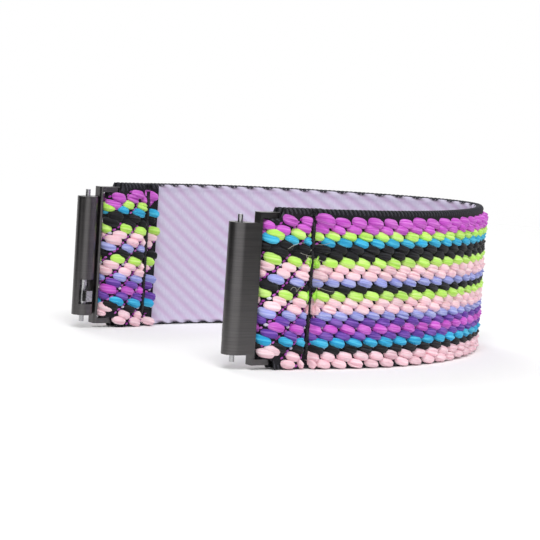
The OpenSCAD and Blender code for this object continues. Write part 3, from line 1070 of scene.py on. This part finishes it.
def build_rows(index, zone):
    """The yarn rows of one zone: floats and beads in one piece."""
    (floats, float_faces), (beads, bead_faces) = (
        gather_shapes([shape for shape in shapes if shape["zone"] == index], faces)
        for shapes, faces in ((FLOATS, FLOAT_FACES), (BEADS, BEAD_FACES)))
    flat = {key: np.concatenate([floats[key], beads[key]]) for key in floats}
    faces = float_faces + [[v + len(floats["q"]) for v in face] for face in bead_faces]
    points = bend(flat["q"], flat["t"], flat["z"], gather=False)
    piece = make_piece(f"yarn_rows_{zone}", points, faces, YARN, dye=flat["dye"],
                       yarn=flat["yarn"])
    weave_in(piece, "face", zone)
    return len(faces)


print("faces in the rows:", sum(build_rows(i, zone) for i, zone in enumerate(ZONES)))

# %% [markdown]
# ## The ground weave
# Under the rows lies the ground: a tight black weave that carries the rubber
# and makes the edges. Its core hardly shows, so a flat sleeve is enough there.
# The edges do show, also in outline, where a bump in the material would stay
# smooth, so a ribbed section is swept along each of them. The finish is nylon
# again, but flat and matt, with the crossing threads drawn by a fine check,
# and with painted shade in the valleys between the ribs of the edges.

# %% Make the ground's finish
# Thread spacing, and the grain of the fuzz
GROUND_THREAD_MM, GROUND_FUZZ_MM = 0.45, 1 / 6
GROUND_DARK, GROUND_LIGHT, GROUND_FUZZ = "#2f2f34", "#53535b", "#36363c"
# Near black painted into the valleys between the ribs of the edges, as their shade
PAINTED_RIB_SHADE = "#030304"


def ground_finish():
    """Woven nylon, black."""
    finish, tree = new_finish("woven nylon, black")
    flat = add(tree, "Attribute", attribute_name="weave")
    ribs = add(tree, "Attribute", attribute_name="rib")
    scaled = add(tree, "Mapping", {"Vector": flat.outputs["Vector"],
                                   "Scale": (1 / GROUND_THREAD_MM,) * 3})
    checks = add(tree, "TexChecker", {"Vector": scaled.outputs["Vector"], "Scale": 2.0,
                                      "Color1": linear(GROUND_DARK),
                                      "Color2": linear(GROUND_LIGHT)})
    fuzz = add(tree, "TexNoise", {"Vector": flat.outputs["Vector"],
                                  "Scale": 1 / GROUND_FUZZ_MM, "Detail": 4.0})
    colour = add(tree, "Mix", {"Factor": fuzz.outputs["Fac"], "A": linear(GROUND_FUZZ),
                               "B": checks.outputs["Color"]}, data_type="RGBA")
    # Painted shade: the rib attribute draws the valleys between the ribs near black, and the
    # crests in the weave's colour
    crest = add(tree, "Mix", {"Factor": ribs.outputs["Fac"], "A": linear(PAINTED_RIB_SHADE),
                              "B": colour.outputs["Result"]}, data_type="RGBA")
    bump = add(tree, "Bump", {"Height": fuzz.outputs["Fac"], "Strength": 0.5,
                              "Distance": 0.06 * MM})
    shader = add(tree, "BsdfPrincipled", {
        "Base Color": crest.outputs["Result"], "Roughness": 0.85, "Specular IOR Level": 0.18,
        "Sheen Weight": 0.04, "Sheen Roughness": 0.4, "Normal": bump.outputs["Normal"]})
    add(tree, "OutputMaterial", {"Surface": shader.outputs[0]})
    return finish


GROUND = ground_finish()
print("finish:", GROUND.name)

# %% Sweep a section along the webbing
def stations(zone, step):
    """Lengths along the webbing, from one end of a zone to the other."""
    index = ZONES.index(zone)
    first, last = CUTS[index], CUTS[index + 1]
    return np.linspace(first, last, max(2, math.ceil((last - first) / step)) + 1)


def sweep(qs, t, z):
    """Flat points of a section t, z at each of the lengths qs."""
    shape = (len(qs), len(t) if t.ndim == 1 else t.shape[1])
    flat_q = np.repeat(qs, shape[1])
    return flat_q, np.broadcast_to(t, shape).ravel(), np.broadcast_to(z, shape).ravel()


print("sections of the back, one each millimetre:", len(stations("back", 1.0)))

# %% Weave the sleeve
# Heights t of the sleeve's outside and inside, and how far they stay from the band's edges
CORE_T, CORE_EDGE = (0.30, 1.40), 0.45
SLEEVE_T, SLEEVE_EDGE = (0.55, 1.15), 1.35
ACROSS = 16
CORE_STEP = 0.5


def flat_loop(low_t, high_t, inset):
    """A thin rectangle's outline: up the lining side and down the face side."""
    z = np.linspace(inset, BAND_W - inset, ACROSS)
    return (np.concatenate([np.full(ACROSS, low_t), np.full(ACROSS, high_t)]),
            np.concatenate([z, z[::-1]]))


def sleeve_core(zone):
    """The core of the ground weave: a sleeve, open inside for the rubber."""
    qs = stations(zone, CORE_STEP)
    outer = sweep(qs, *flat_loop(*CORE_T, CORE_EDGE))
    inner = sweep(qs, *flat_loop(*SLEEVE_T, SLEEVE_EDGE))
    rings, around = len(qs), 2 * ACROSS
    inside = rings * around
    faces = wall_faces(rings, around)
    faces += [face[::-1] for face in wall_faces(rings, around, inside)]
    for ring, flip in ((0, False), (rings - 1, True)):
        for j in range(around):
            k = (j + 1) % around
            face = [ring * around + j, inside + ring * around + j,
                    inside + ring * around + k, ring * around + k]
            faces.append(face[::-1] if flip else face)
    return [np.concatenate(pair) for pair in zip(outer, inner)], faces


print("faces of the back's sleeve:", len(sleeve_core("back")[1]))

# %% Rib the edges
# Middle and half size of an edge's section, through the band and across it
EDGE_T, EDGE_HALF_T = 0.70, 0.72
TOP_HALF_Z, BOTTOM_HALF_Z = 0.60, 0.36
EDGE_AROUND = 14
EDGE_STEP = 0.10
SELVEDGE_RIB_MM = 0.76
# The ribs' depth as a share, the power that rounds them, and the level that keeps the size
RIB_DEPTH, RIB_POWER, RIB_LEVEL = 0.36, 0.5, 0.75
# Across the band the ribs are shallower, by this share
RIM_SHARE = 0.3
# How far a rib leans round the edge, in ribs
RIB_SLANT = 0.275


def ribbed_edge(zone, centre_z, half_z, start):
    """A selvedge: the weft thread turns round the edge, and each turn shows as a rib."""
    qs = stations(zone, EDGE_STEP)
    angle = 2 * np.pi * np.arange(EDGE_AROUND) / EDGE_AROUND
    turn = qs[:, None] / SELVEDGE_RIB_MM + RIB_SLANT * np.sin(angle)[None, :]
    crest = np.sin(np.pi * turn) ** 2
    rib = RIB_DEPTH * (crest ** RIB_POWER - RIB_LEVEL)
    t = EDGE_T + EDGE_HALF_T * np.cos(angle) * (1 + rib)
    z = centre_z + half_z * np.sin(angle) * (1 + RIM_SHARE * rib)
    return sweep(qs, t, z), capped_faces(len(qs), EDGE_AROUND, start), crest.ravel()


print("ribs on each edge:", round(TOTAL_Q / SELVEDGE_RIB_MM))

# %% Build the ground weave
# The core lies in the shade of the rows, so it is as dark as this place on a rib
CORE_SHADE = 0.25


def build_ground(zone):
    """The ground weave of one zone: its core and both selvedges."""
    flat, faces = sleeve_core(zone)
    ribs = np.full(len(flat[0]), CORE_SHADE)
    for centre_z, half_z in ((BAND_W - TOP_HALF_Z, TOP_HALF_Z), (BOTTOM_HALF_Z, BOTTOM_HALF_Z)):
        edge, edge_faces, crests = ribbed_edge(zone, centre_z, half_z, len(flat[0]))
        flat = [np.concatenate(pair) for pair in zip(flat, edge)]
        ribs = np.concatenate([ribs, crests])
        faces += edge_faces
    q, t, z = flat
    piece = make_piece(f"ground_weave_{zone}", bend(q, t, z), faces, GROUND,
                       weave=np.column_stack([q, z, t]), rib=np.column_stack([ribs] * 3))
    weave_in(piece, "webbing", zone)
    return len(faces)


print("faces in the ground weave:", sum(build_ground(zone) for zone in ZONES))

# %% [markdown]
# ## The lining
# The side that touches the wrist is woven from a pale lavender yarn, finer
# than the face. Where the face yarns dip, the lining is drawn in too, so it
# shows soft slanting ribs with pinkish valleys, and small dark gaps along its
# edge where the black ground looks through. Bump alone would leave that edge
# straight, so the ribs are modelled, and each point carries how pink and how
# dark the weave is there.

# %% Make the lining's finish
# A thread's width, and its length where it shows, across the band
LINING_THREAD_MM, LINING_RUN_MM = 0.3, 0.75
LAVENDER_SHADE, LAVENDER_LIGHT = "#bdb6d0", "#dedaea"
PINK_VALLEY = "#c4a4c9"
BLACK_GAP = "#2c2a31"


def lining_finish():
    """Fine woven nylon, pale lavender."""
    finish, tree = new_finish("fine woven nylon, lavender")
    tone = add(tree, "Attribute", attribute_name="tone")
    parts = add(tree, "SeparateXYZ", {"Vector": tone.outputs["Vector"]})
    flat = add(tree, "Attribute", attribute_name="weave")
    lines = add(tree, "Mapping", {"Vector": flat.outputs["Vector"],
                                  "Scale": (1 / LINING_THREAD_MM, 1 / LINING_RUN_MM, 1)})
    thread = add(tree, "TexNoise", {"Vector": lines.outputs["Vector"], "Scale": 1.0,
                                    "Detail": 3.0, "Roughness": 0.55})
    pale = add(tree, "Mix", {"Factor": thread.outputs["Fac"], "A": linear(LAVENDER_SHADE),
                             "B": linear(LAVENDER_LIGHT)}, data_type="RGBA")
    pinker = add(tree, "Mix", {"Factor": parts.outputs["X"], "A": pale.outputs["Result"],
                               "B": linear(PINK_VALLEY)}, data_type="RGBA")
    darker = add(tree, "Mix", {"Factor": parts.outputs["Y"], "A": pinker.outputs["Result"],
                               "B": linear(BLACK_GAP)}, data_type="RGBA")
    bump = add(tree, "Bump", {"Height": thread.outputs["Fac"], "Strength": 0.5,
                              "Distance": 0.05 * MM})
    shader = add(tree, "BsdfPrincipled", {
        "Base Color": darker.outputs["Result"], "Roughness": 0.85, "Specular IOR Level": 0.25,
        "Sheen Weight": 0.15, "Sheen Roughness": 0.5, "Normal": bump.outputs["Normal"]})
    add(tree, "OutputMaterial", {"Surface": shader.outputs[0]})
    return finish


LINING = lining_finish()
print("finish:", LINING.name)

# %% Shape the lining's ribs
# How far the valleys shift along the band from row to row, and half their width, in pitches
LINING_SHIFT, VALLEY_W = 0.45, 0.25
# How proud the ribs stand, how deep the valleys go, and how proud of the rims the edges are
RIB_PROUD, VALLEY_DEPTH, RIM_PROUD = 0.03, 0.18, 0.08
# The lining lies over the rims up to the first distance from the edge, and levels out by
# the second
RIM_BAND = (0.9, 1.4)


def valley(q, z):
    """1 in the valleys between the ribs, and 0 on the ribs."""
    place = weave_of_q(q) + LINING_SHIFT * (row_z(ANCHOR_ROW) - z) / ROW_PITCH
    off = np.abs(place - np.round(place))
    return np.exp(-(off / VALLEY_W) ** 2)


def rim_surface(z):
    """Height of the selvedges' inner side at z, over the crests of their ribs."""
    half = np.where(z > MID_Z, TOP_HALF_Z, BOTTOM_HALF_Z)
    crest = 1 + RIB_DEPTH * (1 - RIB_LEVEL)
    past = np.clip((np.abs(z - MID_Z) - MID_Z + half) / half / crest, 0, 1)
    return EDGE_T - EDGE_HALF_T * crest * np.sqrt(1 - past ** 2)


def ribbed_t(z, depth):
    """Height of the ribbed side: the valleys come up into the band, the edges over the rims."""
    level = smoothstep((np.abs(z - MID_Z) - MID_Z + RIM_BAND[1]) / (RIM_BAND[1] - RIM_BAND[0]))
    ribs = VALLEY_DEPTH * depth - RIB_PROUD
    return ribs * (1 - level) + (rim_surface(z) - RIM_PROUD) * level


print("height of the rims' inner side at the upper edge:", round(float(rim_surface(BAND_W)), 2))

# %% Build the lining
LINING_EDGE = 0.19
LINING_ACROSS = 72
LINING_STEP = 0.24
# Small dark gaps along the edge: how far in they reach, and how far the edge is drawn in
SPOT_BAND, SPOT_DIP = 0.6, 0.3
# How dark and how sharp the gaps are, and how pink the valleys
SPOT_DARK, SPOT_SHARP = 0.9, 1.5
VALLEY_PINK = 0.62
# The fold draws the lining in by this share, up to these distances from the bar
LINING_DRAWN, LINING_ZONE = 0.08, (1.5, 4.0)


def with_back(ribbed, back):
    """Values of the ribbed side, and those of the flat side's two corners after them."""
    return np.hstack([ribbed, np.broadcast_to(back, (len(ribbed), 2))])


def build_lining(zone):
    """The lining of one zone: a thin slab with ribs on the wrist's side."""
    qs = stations(zone, LINING_STEP)
    across = np.linspace(LINING_EDGE, BAND_W - LINING_EDGE, LINING_ACROSS)
    q, z = np.meshgrid(qs, across, indexing="ij")
    depth = valley(q, z)
    rim = smoothstep((np.abs(z - MID_Z) - (MID_Z - LINING_EDGE - SPOT_BAND)) / SPOT_BAND)
    edge_z = z - np.sign(z - MID_Z) * SPOT_DIP * depth * rim
    width = with_back(edge_z, (BAND_W - LINING_EDGE, LINING_EDGE))
    drawn = 1 - LINING_DRAWN * near_bar(s_at(qs), LINING_ZONE)
    z_all = (MID_Z + (width - MID_Z) * drawn[:, None]).ravel()
    q_all = with_back(q, qs[:, None]).ravel()
    t_all = with_back(ribbed_t(z, depth), LINING_T).ravel()
    pink = with_back(VALLEY_PINK * depth, 0).ravel()
    dark = with_back(SPOT_DARK * rim * smoothstep(SPOT_SHARP * depth), 0).ravel()
    faces = capped_faces(len(qs), LINING_ACROSS + 2)
    piece = make_piece(f"inner_lining_{zone}", bend(q_all, t_all, z_all), faces, LINING,
                       weave=np.column_stack([q_all, z_all, t_all]),
                       tone=np.column_stack([pink, dark, 0 * pink]))
    weave_in(piece, "lining", zone)
    return len(faces)


print("faces in the lining:", sum(build_lining(zone) for zone in ZONES))

# %% [markdown]
# ## The rubber
# What makes the webbing stretch is natural rubber: many square threads side
# by side, hidden in the sleeve of the ground weave. As only their ends could
# show, they are drawn as one strip with a ridge for each thread, in the dull
# tan of uncoated rubber, a little paler where talc clings to it.

# %% Make the rubber's finish
# Size of the blotches of talc
DUST_MM = 1.1
RUBBER_TAN, RUBBER_DUSTED = "#8a7a62", "#a89a80"


def rubber_finish():
    """Natural rubber thread, dusted with talc."""
    finish, tree = new_finish("natural rubber thread")
    place = add(tree, "TexCoord")
    dust = add(tree, "TexNoise", {"Vector": place.outputs["Object"],
                                  "Scale": 1 / (DUST_MM * MM), "Detail": 4.0})
    colour = add(tree, "Mix", {"Factor": dust.outputs["Fac"], "A": linear(RUBBER_TAN),
                               "B": linear(RUBBER_DUSTED)}, data_type="RGBA")
    shader = add(tree, "BsdfPrincipled", {"Base Color": colour.outputs["Result"],
                                          "Roughness": 0.7})
    add(tree, "OutputMaterial", {"Surface": shader.outputs[0]})
    return finish


RUBBER = rubber_finish()
print("finish:", RUBBER.name)

# %% Build the rubber
RUBBER_T = (0.62, 1.08)
RUBBER_EDGE = 1.45
RUBBER_THREADS = 30
POINTS_A_THREAD = 4
RIDGE_MM = 0.09
RUBBER_STEP, RUBBER_SEWN_STEP = 1.0, 0.25


def build_rubber(zone):
    """The rubber threads of one zone."""
    qs = stations(zone, RUBBER_SEWN_STEP if zone.startswith("loop") else RUBBER_STEP)
    step = np.arange(POINTS_A_THREAD * RUBBER_THREADS + 1) / POINTS_A_THREAD
    z = RUBBER_EDGE + (BAND_W - 2 * RUBBER_EDGE) * step / RUBBER_THREADS
    ridge = RIDGE_MM * (1 - np.abs(np.sin(np.pi * step)))
    t = np.concatenate([RUBBER_T[0] + ridge, (RUBBER_T[1] - ridge)[::-1]])
    points = bend(*sweep(qs, t, np.concatenate([z, z[::-1]])))
    faces = capped_faces(len(qs), len(t))
    piece = make_piece(f"rubber_core_{zone}", points, faces, RUBBER)
    weave_in(piece, "rubber", zone)
    return len(faces)


print("faces in the rubber:", sum(build_rubber(zone) for zone in ZONES))

# %% [markdown]
# ## The seam
# Each end is sewn down by a lockstitch: a black thread on the face and one on
# the back, locked in the needle holes. The thread is spun polyester, matt and
# a little fuzzy, of two plies that twist round each other. A plain tube would
# look like wire, so each stitch is such a twisted pair, drawn along an arc
# from hole to hole and pulled deep into the rows.

# %% Make thin round strands
# A direction that no strand runs in, from which the rings of a strand are laid out
OFF_AXIS = np.array([0.31, 0.52, 0.80])


def strand(path, radius, sides=6):
    """Points and faces of a closed round strand along a path of points."""
    path = np.asarray(path, dtype=float)
    ahead = np.gradient(path, axis=0)
    ahead /= np.linalg.norm(ahead, axis=1)[:, None]
    across = np.cross(ahead, OFF_AXIS)
    across /= np.linalg.norm(across, axis=1)[:, None]
    other = np.cross(ahead, across)
    angle = 2 * np.pi * np.arange(sides) / sides
    thin = np.broadcast_to(radius, len(path))[:, None, None]
    rings = path[:, None] + thin * (np.cos(angle)[None, :, None] * across[:, None]
                                    + np.sin(angle)[None, :, None] * other[:, None])
    return rings.reshape(-1, 3), capped_faces(len(path), sides)


def joined(shapes):
    """One set of points and faces from a list of shapes."""
    points, faces, count = [], [], 0
    for shape_points, shape_faces in shapes:
        points.append(shape_points)
        faces += [[v + count for v in face] for face in shape_faces]
        count += len(shape_points)
    return np.concatenate(points), faces


def from_bar_axes(points, end):
    """Places points given from a strap bar: along the band, towards the wrist, and z."""
    cos, sin = math.cos(SIDE_LEAN), math.sin(SIDE_LEAN)
    x, y, z = np.asarray(points, dtype=float).T
    placed = np.column_stack([BAR[0] + x * cos + y * sin, BAR[1] - x * sin + y * cos, z])
    return placed * (1, 1 if end == "a" else -1, 1)


seam_at = from_bar_axes([(SEAM_RUN, 0, MID_Z)], "a")[0]
print("middle of seam a in mm:", [round(float(x), 2) for x in seam_at])

# %% Make the sewing thread's finish
THREAD_FUZZ_MM = 0.2
THREAD_DARK, THREAD_LIGHT = "#0e0e10", "#2a2a2e"


def thread_finish():
    """Spun polyester sewing thread, black."""
    finish, tree = new_finish("spun polyester thread, black")
    place = add(tree, "TexCoord")
    fuzz = add(tree, "TexNoise", {"Vector": place.outputs["Object"],
                                  "Scale": 1 / (THREAD_FUZZ_MM * MM), "Detail": 3.0})
    colour = add(tree, "Mix", {"Factor": fuzz.outputs["Fac"], "A": linear(THREAD_DARK),
                               "B": linear(THREAD_LIGHT)}, data_type="RGBA")
    bump = add(tree, "Bump", {"Height": fuzz.outputs["Fac"], "Strength": 0.6,
                              "Distance": 0.03 * MM})
    shader = add(tree, "BsdfPrincipled", {
        "Base Color": colour.outputs["Result"], "Roughness": 0.75, "Sheen Weight": 0.15,
        "Sheen Roughness": 0.4, "Normal": bump.outputs["Normal"]})
    add(tree, "OutputMaterial", {"Surface": shader.outputs[0]})
    return finish


THREAD = thread_finish()
print("finish:", THREAD.name)

# %% Twist the stitches
THREAD_R = 0.15
# Each ply lies off the middle of its pair by this share of its radius
PLY_OFF = 0.8
PLY_TURNS = 3
# Height of a stitch over the bar, how deep its ends dip, and how square its arc is
STITCH_Y, STITCH_DIP, STITCH_POWER = 1.04, 0.5, 0.6
STITCH_POINTS = 17
# The thread in a needle hole ends this far short of the stitches' height
HOLE_SHORT, HOLE_POINTS = 0.2, 5


def twisted_stitch(z0, z1, side):
    """Two plies of thread from one needle hole to the next, on one side of the band."""
    u = np.linspace(0, 1, STITCH_POINTS)
    rise = STITCH_Y - STITCH_DIP * (1 - np.sin(np.pi * u) ** STITCH_POWER)
    plies = []
    for turn in (0, np.pi):
        angle = 2 * np.pi * PLY_TURNS * u + turn
        plies.append(strand(np.column_stack([
            SEAM_RUN + THREAD_R * PLY_OFF * np.cos(angle),
            side * (rise + THREAD_R * PLY_OFF * np.sin(angle)),
            z0 + (z1 - z0) * u]), THREAD_R))
    return joined(plies)


def hole_thread(z):
    """The thread through one needle hole."""
    reach = np.linspace(HOLE_SHORT - STITCH_Y, STITCH_Y - HOLE_SHORT, HOLE_POINTS)
    return strand([(SEAM_RUN, y, z) for y in reach], THREAD_R)


print("points of one stitch:", len(twisted_stitch(0, 2.0, 1)[0]))

# %% Sew both seams
STITCH_PITCH = 2.0


def build_seam(end):
    """All stitches of one seam, with the threads through the needle holes."""
    low, high = box_mm("seam_thread_" + end)
    half = (high[2] - low[2]) / 2 - THREAD_R
    count = round(2 * half / STITCH_PITCH)
    holes = [MID_Z + (i - count / 2) * STITCH_PITCH for i in range(count + 1)]
    shapes = [twisted_stitch(a, b, side) for side in (-1, 1) for a, b in zip(holes, holes[1:])]
    points, faces = joined(shapes + [hole_thread(z) for z in holes])
    if end == "b":
        faces = [face[::-1] for face in faces]
    piece = make_piece("lockstitch_" + end, from_bar_axes(points, end), faces, THREAD)
    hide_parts("seam_thread_" + end)
    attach(piece, "loop_" + end)
    return count


print("stitches in each seam:", [build_seam(end) for end in ENDS])

# %% [markdown]
# ## Frayed ends
# The needle cuts a few filaments of the soft face yarn. They stand out beside
# the seam as small tufts in the dye of their row, and a few grey hairs of the
# ground lie over the black rows. Blender's hair could grow them, but so few
# are easier to place as thin curved strands from a seeded random generator.

# %% Shape a tuft
LIME_FRAY, PINK_FRAY = "#b9f25a", "#f3c9d2"
TUFTS = ((6, LIME_FRAY), (11, LIME_FRAY), (13, PINK_FRAY))
# A tuft on either side of the seam, at these distances from it
TUFT_SIDES = (-0.45, 0.35)
# The hairs of a tuft: how many, how long, half the angle of their fan, and points along one
TUFT_HAIRS = 44
TUFT_LEN = (0.5, 1.15)
TUFT_SPREAD = 1.1
TUFT_POINTS = 6
# A hair reaches less far along the band than across it, by this share
TUFT_ALONG = 0.7
# How far out the hairs start, how high they arch, and where the arch comes down again, in
# lengths of a hair
TUFT_ROOT, TUFT_ARCH, ARCH_END = 1.35, 0.6, 1.3
# Standard deviations of their roots, outwards and across the band
ROOT_VARY, HEIGHT_VARY = 0.09, 0.22
# Radius of a hair, with its share at the root and how much of it is gone at the tip
TUFT_R, ROOT_SHARE, TIP_LESS = 0.05, 1.2, 0.8
HAIR_SIDES = 4


def tuft(rng, z, side_x, end):
    """Short curved filaments that spread from one place beside the seam."""
    shapes = []
    for _ in range(TUFT_HAIRS):
        length = rng.uniform(*TUFT_LEN)
        angle = rng.uniform(-TUFT_SPREAD, TUFT_SPREAD) + (0 if side_x > 0 else np.pi)
        u = np.linspace(0, 1, TUFT_POINTS)
        x = SEAM_RUN + side_x + length * u * np.cos(angle) * TUFT_ALONG
        height = z + length * u * np.sin(angle) + rng.normal(0, HEIGHT_VARY)
        out = TUFT_ROOT + TUFT_ARCH * u * (ARCH_END - u) + rng.normal(0, ROOT_VARY)
        path = from_bar_axes(np.column_stack([x, -out, height]), end)
        shapes.append(strand(path, TUFT_R * (ROOT_SHARE - TIP_LESS * u), HAIR_SIDES))
    return shapes


print("hairs in the tufts of a seam:", len(TUFTS) * len(TUFT_SIDES) * TUFT_HAIRS)

# %% Shape a stray hair
HAIR_GREY = "#b9b6ac"
STRAY_HAIRS = 10
STRAY_POINTS = 14
# Rows over which the hairs lie, the half rows between two of them, and the spread round these
STRAY_ROWS = (4, 4.5, 5, 10)
STRAY_VARY = 0.25
STRAY_FROM = (0.8, 7.4)
STRAY_LEN = (1.6, 3.8)
# Half the turn along a hair, and the range of its heading
STRAY_CURL, STRAY_HEADING = 1.9, 0.6
# How far over the yarn a hair lies, and its radius
STRAY_OVER, STRAY_R = 0.06, 0.03


def stray(rng, end):
    """One long thin hair that lies over the rows on either side of the seam."""
    length, curl = rng.uniform(*STRAY_LEN), rng.uniform(-STRAY_CURL, STRAY_CURL)
    heading = (rng.uniform(-STRAY_HEADING, STRAY_HEADING)
               + curl * np.linspace(-1, 1, STRAY_POINTS))
    s = rng.uniform(*STRAY_FROM) + length * np.cumsum(np.cos(heading)) / STRAY_POINTS
    z = row_z(rng.choice(STRAY_ROWS)) + rng.normal(0, STRAY_VARY)
    z = z + length * np.cumsum(np.sin(heading)) / STRAY_POINTS
    q = np.interp(s, LINE[:, 3], LINE_Q)
    q = q if end == "a" else TOTAL_Q - q
    t = np.full(STRAY_POINTS, FACE_AT + YARN_T + STRAY_OVER)
    return strand(bend(q, t, z, gather=False), STRAY_R, HAIR_SIDES)


print("stray hairs at a seam:", STRAY_HAIRS)

# %% Build the frayed ends
def build_frayed(end, rng):
    """The tufts and hairs of one seam."""
    shapes, dyes = [], []
    for row, colour in TUFTS:
        for side_x in TUFT_SIDES:
            made = tuft(rng, row_z(row), side_x, end)
            shapes += made
            dyes += [linear(colour)] * sum(len(points) for points, _ in made)
    hairs = [stray(rng, end) for _ in range(STRAY_HAIRS)]
    dyes += [linear(HAIR_GREY)] * sum(len(points) for points, _ in hairs)
    points, faces = joined(shapes + hairs)
    piece = make_piece("frayed_ends_" + end, points, faces, YARN, dye=np.array(dyes),
                       yarn=points)
    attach(piece, "loop_" + end)
    return len(shapes) + len(hairs)


print("filaments at each seam:", [build_frayed(end, rng) for end in ENDS])

# %% [markdown]
# ## The connectors
# Each connector is stainless steel, brushed and then coated black in a vacuum,
# so the grain of the brush shows through the coating as fine lines. Its shape
# comes from the frame as it is: the barrel, the folded cover, the plate and
# the flange with its two ears. No real edge is quite sharp, and a broken one
# catches the light, so a bevel modifier goes round the edges. Cutting the
# bevels into the mesh by hand would look the same, but is hard to change.

# %% Make the connectors' finish
# Spacing of the brush's lines, and their length
BRUSH_MM, BRUSH_RUN_MM = 0.07, 20 / 3
COATING_DARK, COATING_LIGHT = "#514f50", "#6c6a6a"


def gunmetal_finish():
    """Brushed stainless steel with a black coating."""
    finish, tree = new_finish("brushed stainless steel, black coated")
    place = add(tree, "TexCoord")
    run = 1 / (BRUSH_RUN_MM * MM)
    grain = add(tree, "Mapping", {"Vector": place.outputs["Object"],
                                  "Scale": (run, run, 1 / (BRUSH_MM * MM))})
    lines = add(tree, "TexNoise", {"Vector": grain.outputs["Vector"], "Scale": 1.0,
                                   "Detail": 2.0, "Roughness": 0.5})
    colour = add(tree, "Mix", {"Factor": lines.outputs["Fac"], "A": linear(COATING_DARK),
                               "B": linear(COATING_LIGHT)}, data_type="RGBA")
    rough = add(tree, "MapRange", {"Value": lines.outputs["Fac"], "To Min": 0.28, "To Max": 0.46})
    bump = add(tree, "Bump", {"Height": lines.outputs["Fac"], "Strength": 0.25,
                              "Distance": 0.01 * MM})
    shader = add(tree, "BsdfPrincipled", {
        "Base Color": colour.outputs["Result"], "Metallic": 1.0,
        "Roughness": rough.outputs["Result"], "Normal": bump.outputs["Normal"]})
    add(tree, "OutputMaterial", {"Surface": shader.outputs[0]})
    return finish


GUNMETAL = gunmetal_finish()
print("finish:", GUNMETAL.name)

# %% Dress the connectors
EDGE_BREAK_MM = 0.07
# Corners sharper than this are broken
CORNER_ANGLE = math.radians(40)


def dress(node, finish, edge):
    """Gives a CAD node its finish, and breaks its sharp edges."""
    node_object = bpy.data.objects[node]
    node_object.data.materials.clear()
    node_object.data.materials.append(finish)
    bevel = node_object.modifiers.new("broken edges", "BEVEL")
    bevel.width = edge * MM
    bevel.segments = 2
    bevel.limit_method = "ANGLE"
    bevel.angle_limit = CORNER_ANGLE
    bevel.harden_normals = True
    return node


print("dressed:", [dress("connector_" + end, GUNMETAL, EDGE_BREAK_MM) for end in ENDS])

# %% [markdown]
# ## The bars
# The spring bars and the strap bars are plain steel, turned on a lathe and
# left bright. Turning leaves rings too fine to see, which spread the shine
# across the bar; they are drawn a little coarser here. Inside each tube a
# coil pushes the plunger out, and it shortens when the knob is pulled back.
# The coil is a piece of its own that rides on its spring bar. A screw
# modifier winds an even coil, but this one has closed turns at both ends, so
# the way of its wire is worked out.

# %% Make the steel's finish
# Spacing of the rings that turning leaves, and how far one keeps its depth
TURNING_MM, TURNING_RUN_MM = 0.05, 25.0
BRIGHT_STEEL = "#b4b4b6"


def steel_finish():
    """Bright turned steel."""
    finish, tree = new_finish("bright turned steel")
    place = add(tree, "TexCoord")
    run = 1 / (TURNING_RUN_MM * MM)
    rings = add(tree, "Mapping", {"Vector": place.outputs["Object"],
                                  "Scale": (run, run, 1 / (TURNING_MM * MM))})
    lines = add(tree, "TexNoise", {"Vector": rings.outputs["Vector"], "Scale": 1.0,
                                   "Detail": 1.0})
    rough = add(tree, "MapRange", {"Value": lines.outputs["Fac"], "To Min": 0.2, "To Max": 0.36})
    bump = add(tree, "Bump", {"Height": lines.outputs["Fac"], "Strength": 0.2,
                              "Distance": 0.01 * MM})
    shader = add(tree, "BsdfPrincipled", {
        "Base Color": linear(BRIGHT_STEEL), "Metallic": 1.0,
        "Roughness": rough.outputs["Result"], "Normal": bump.outputs["Normal"]})
    add(tree, "OutputMaterial", {"Surface": shader.outputs[0]})
    return finish


STEEL = steel_finish()
print("finish:", STEEL.name)

# %% Dress the bars
BAR_PARTS = [
    # piece, and the width of its broken edges in millimetres
    ("strap_bar", 0.1),
    ("bar_tube", 0.03),
    ("fixed_tip", 0.06),
    ("plunger", 0.06),
    ("release_knob", 0.15),
]
for part, edge in BAR_PARTS:
    print("dressed:", [dress(f"{part}_{end}", STEEL, edge) for end in ENDS])

# %% Wind the coils
TURNS = 12
WIRE_MM = 0.2
# The closed turns at each end, and their pitch in widths of the wire
CLOSED_TURNS, CLOSED_PITCH = 1.2, 1.05
WIRE_SIDES = 10
STEPS_A_TURN = 28


def coil_rise(length):
    """Turns along the wire, and how far it has risen there, with closed turns at both ends."""
    turn = np.linspace(0, TURNS, TURNS * STEPS_A_TURN + 1)
    closed = (turn < CLOSED_TURNS) | (turn > TURNS - CLOSED_TURNS)
    closed_pitch = CLOSED_PITCH * WIRE_MM
    open_pitch = (length - 2 * CLOSED_TURNS * closed_pitch) / (TURNS - 2 * CLOSED_TURNS)
    pitch = np.where(closed, closed_pitch, open_pitch)
    rise = np.concatenate([[0], np.cumsum((pitch[1:] + pitch[:-1]) / 2 * np.diff(turn))])
    return turn, rise * length / rise[-1]


def build_coil(end):
    """The compression spring inside one spring bar."""
    low, high = box_mm("bar_spring_" + end)
    axis = (low + high) / 2
    radius = (high[0] - low[0]) / 2 - WIRE_MM / 2
    turn, rise = coil_rise(high[2] - low[2] - WIRE_MM)
    angle = 2 * np.pi * turn
    path = np.column_stack([axis[0] + radius * np.cos(angle), axis[1] + radius * np.sin(angle),
                            low[2] + WIRE_MM / 2 + rise])
    points, faces = strand(path, WIRE_MM / 2, WIRE_SIDES)
    coil = make_piece("coil_" + end, points, faces, STEEL)
    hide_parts("bar_spring_" + end)
    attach(coil, "spring_bar_" + end)
    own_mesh(coil)
    return len(faces)


print("faces in each coil:", [build_coil(end) for end in ENDS])
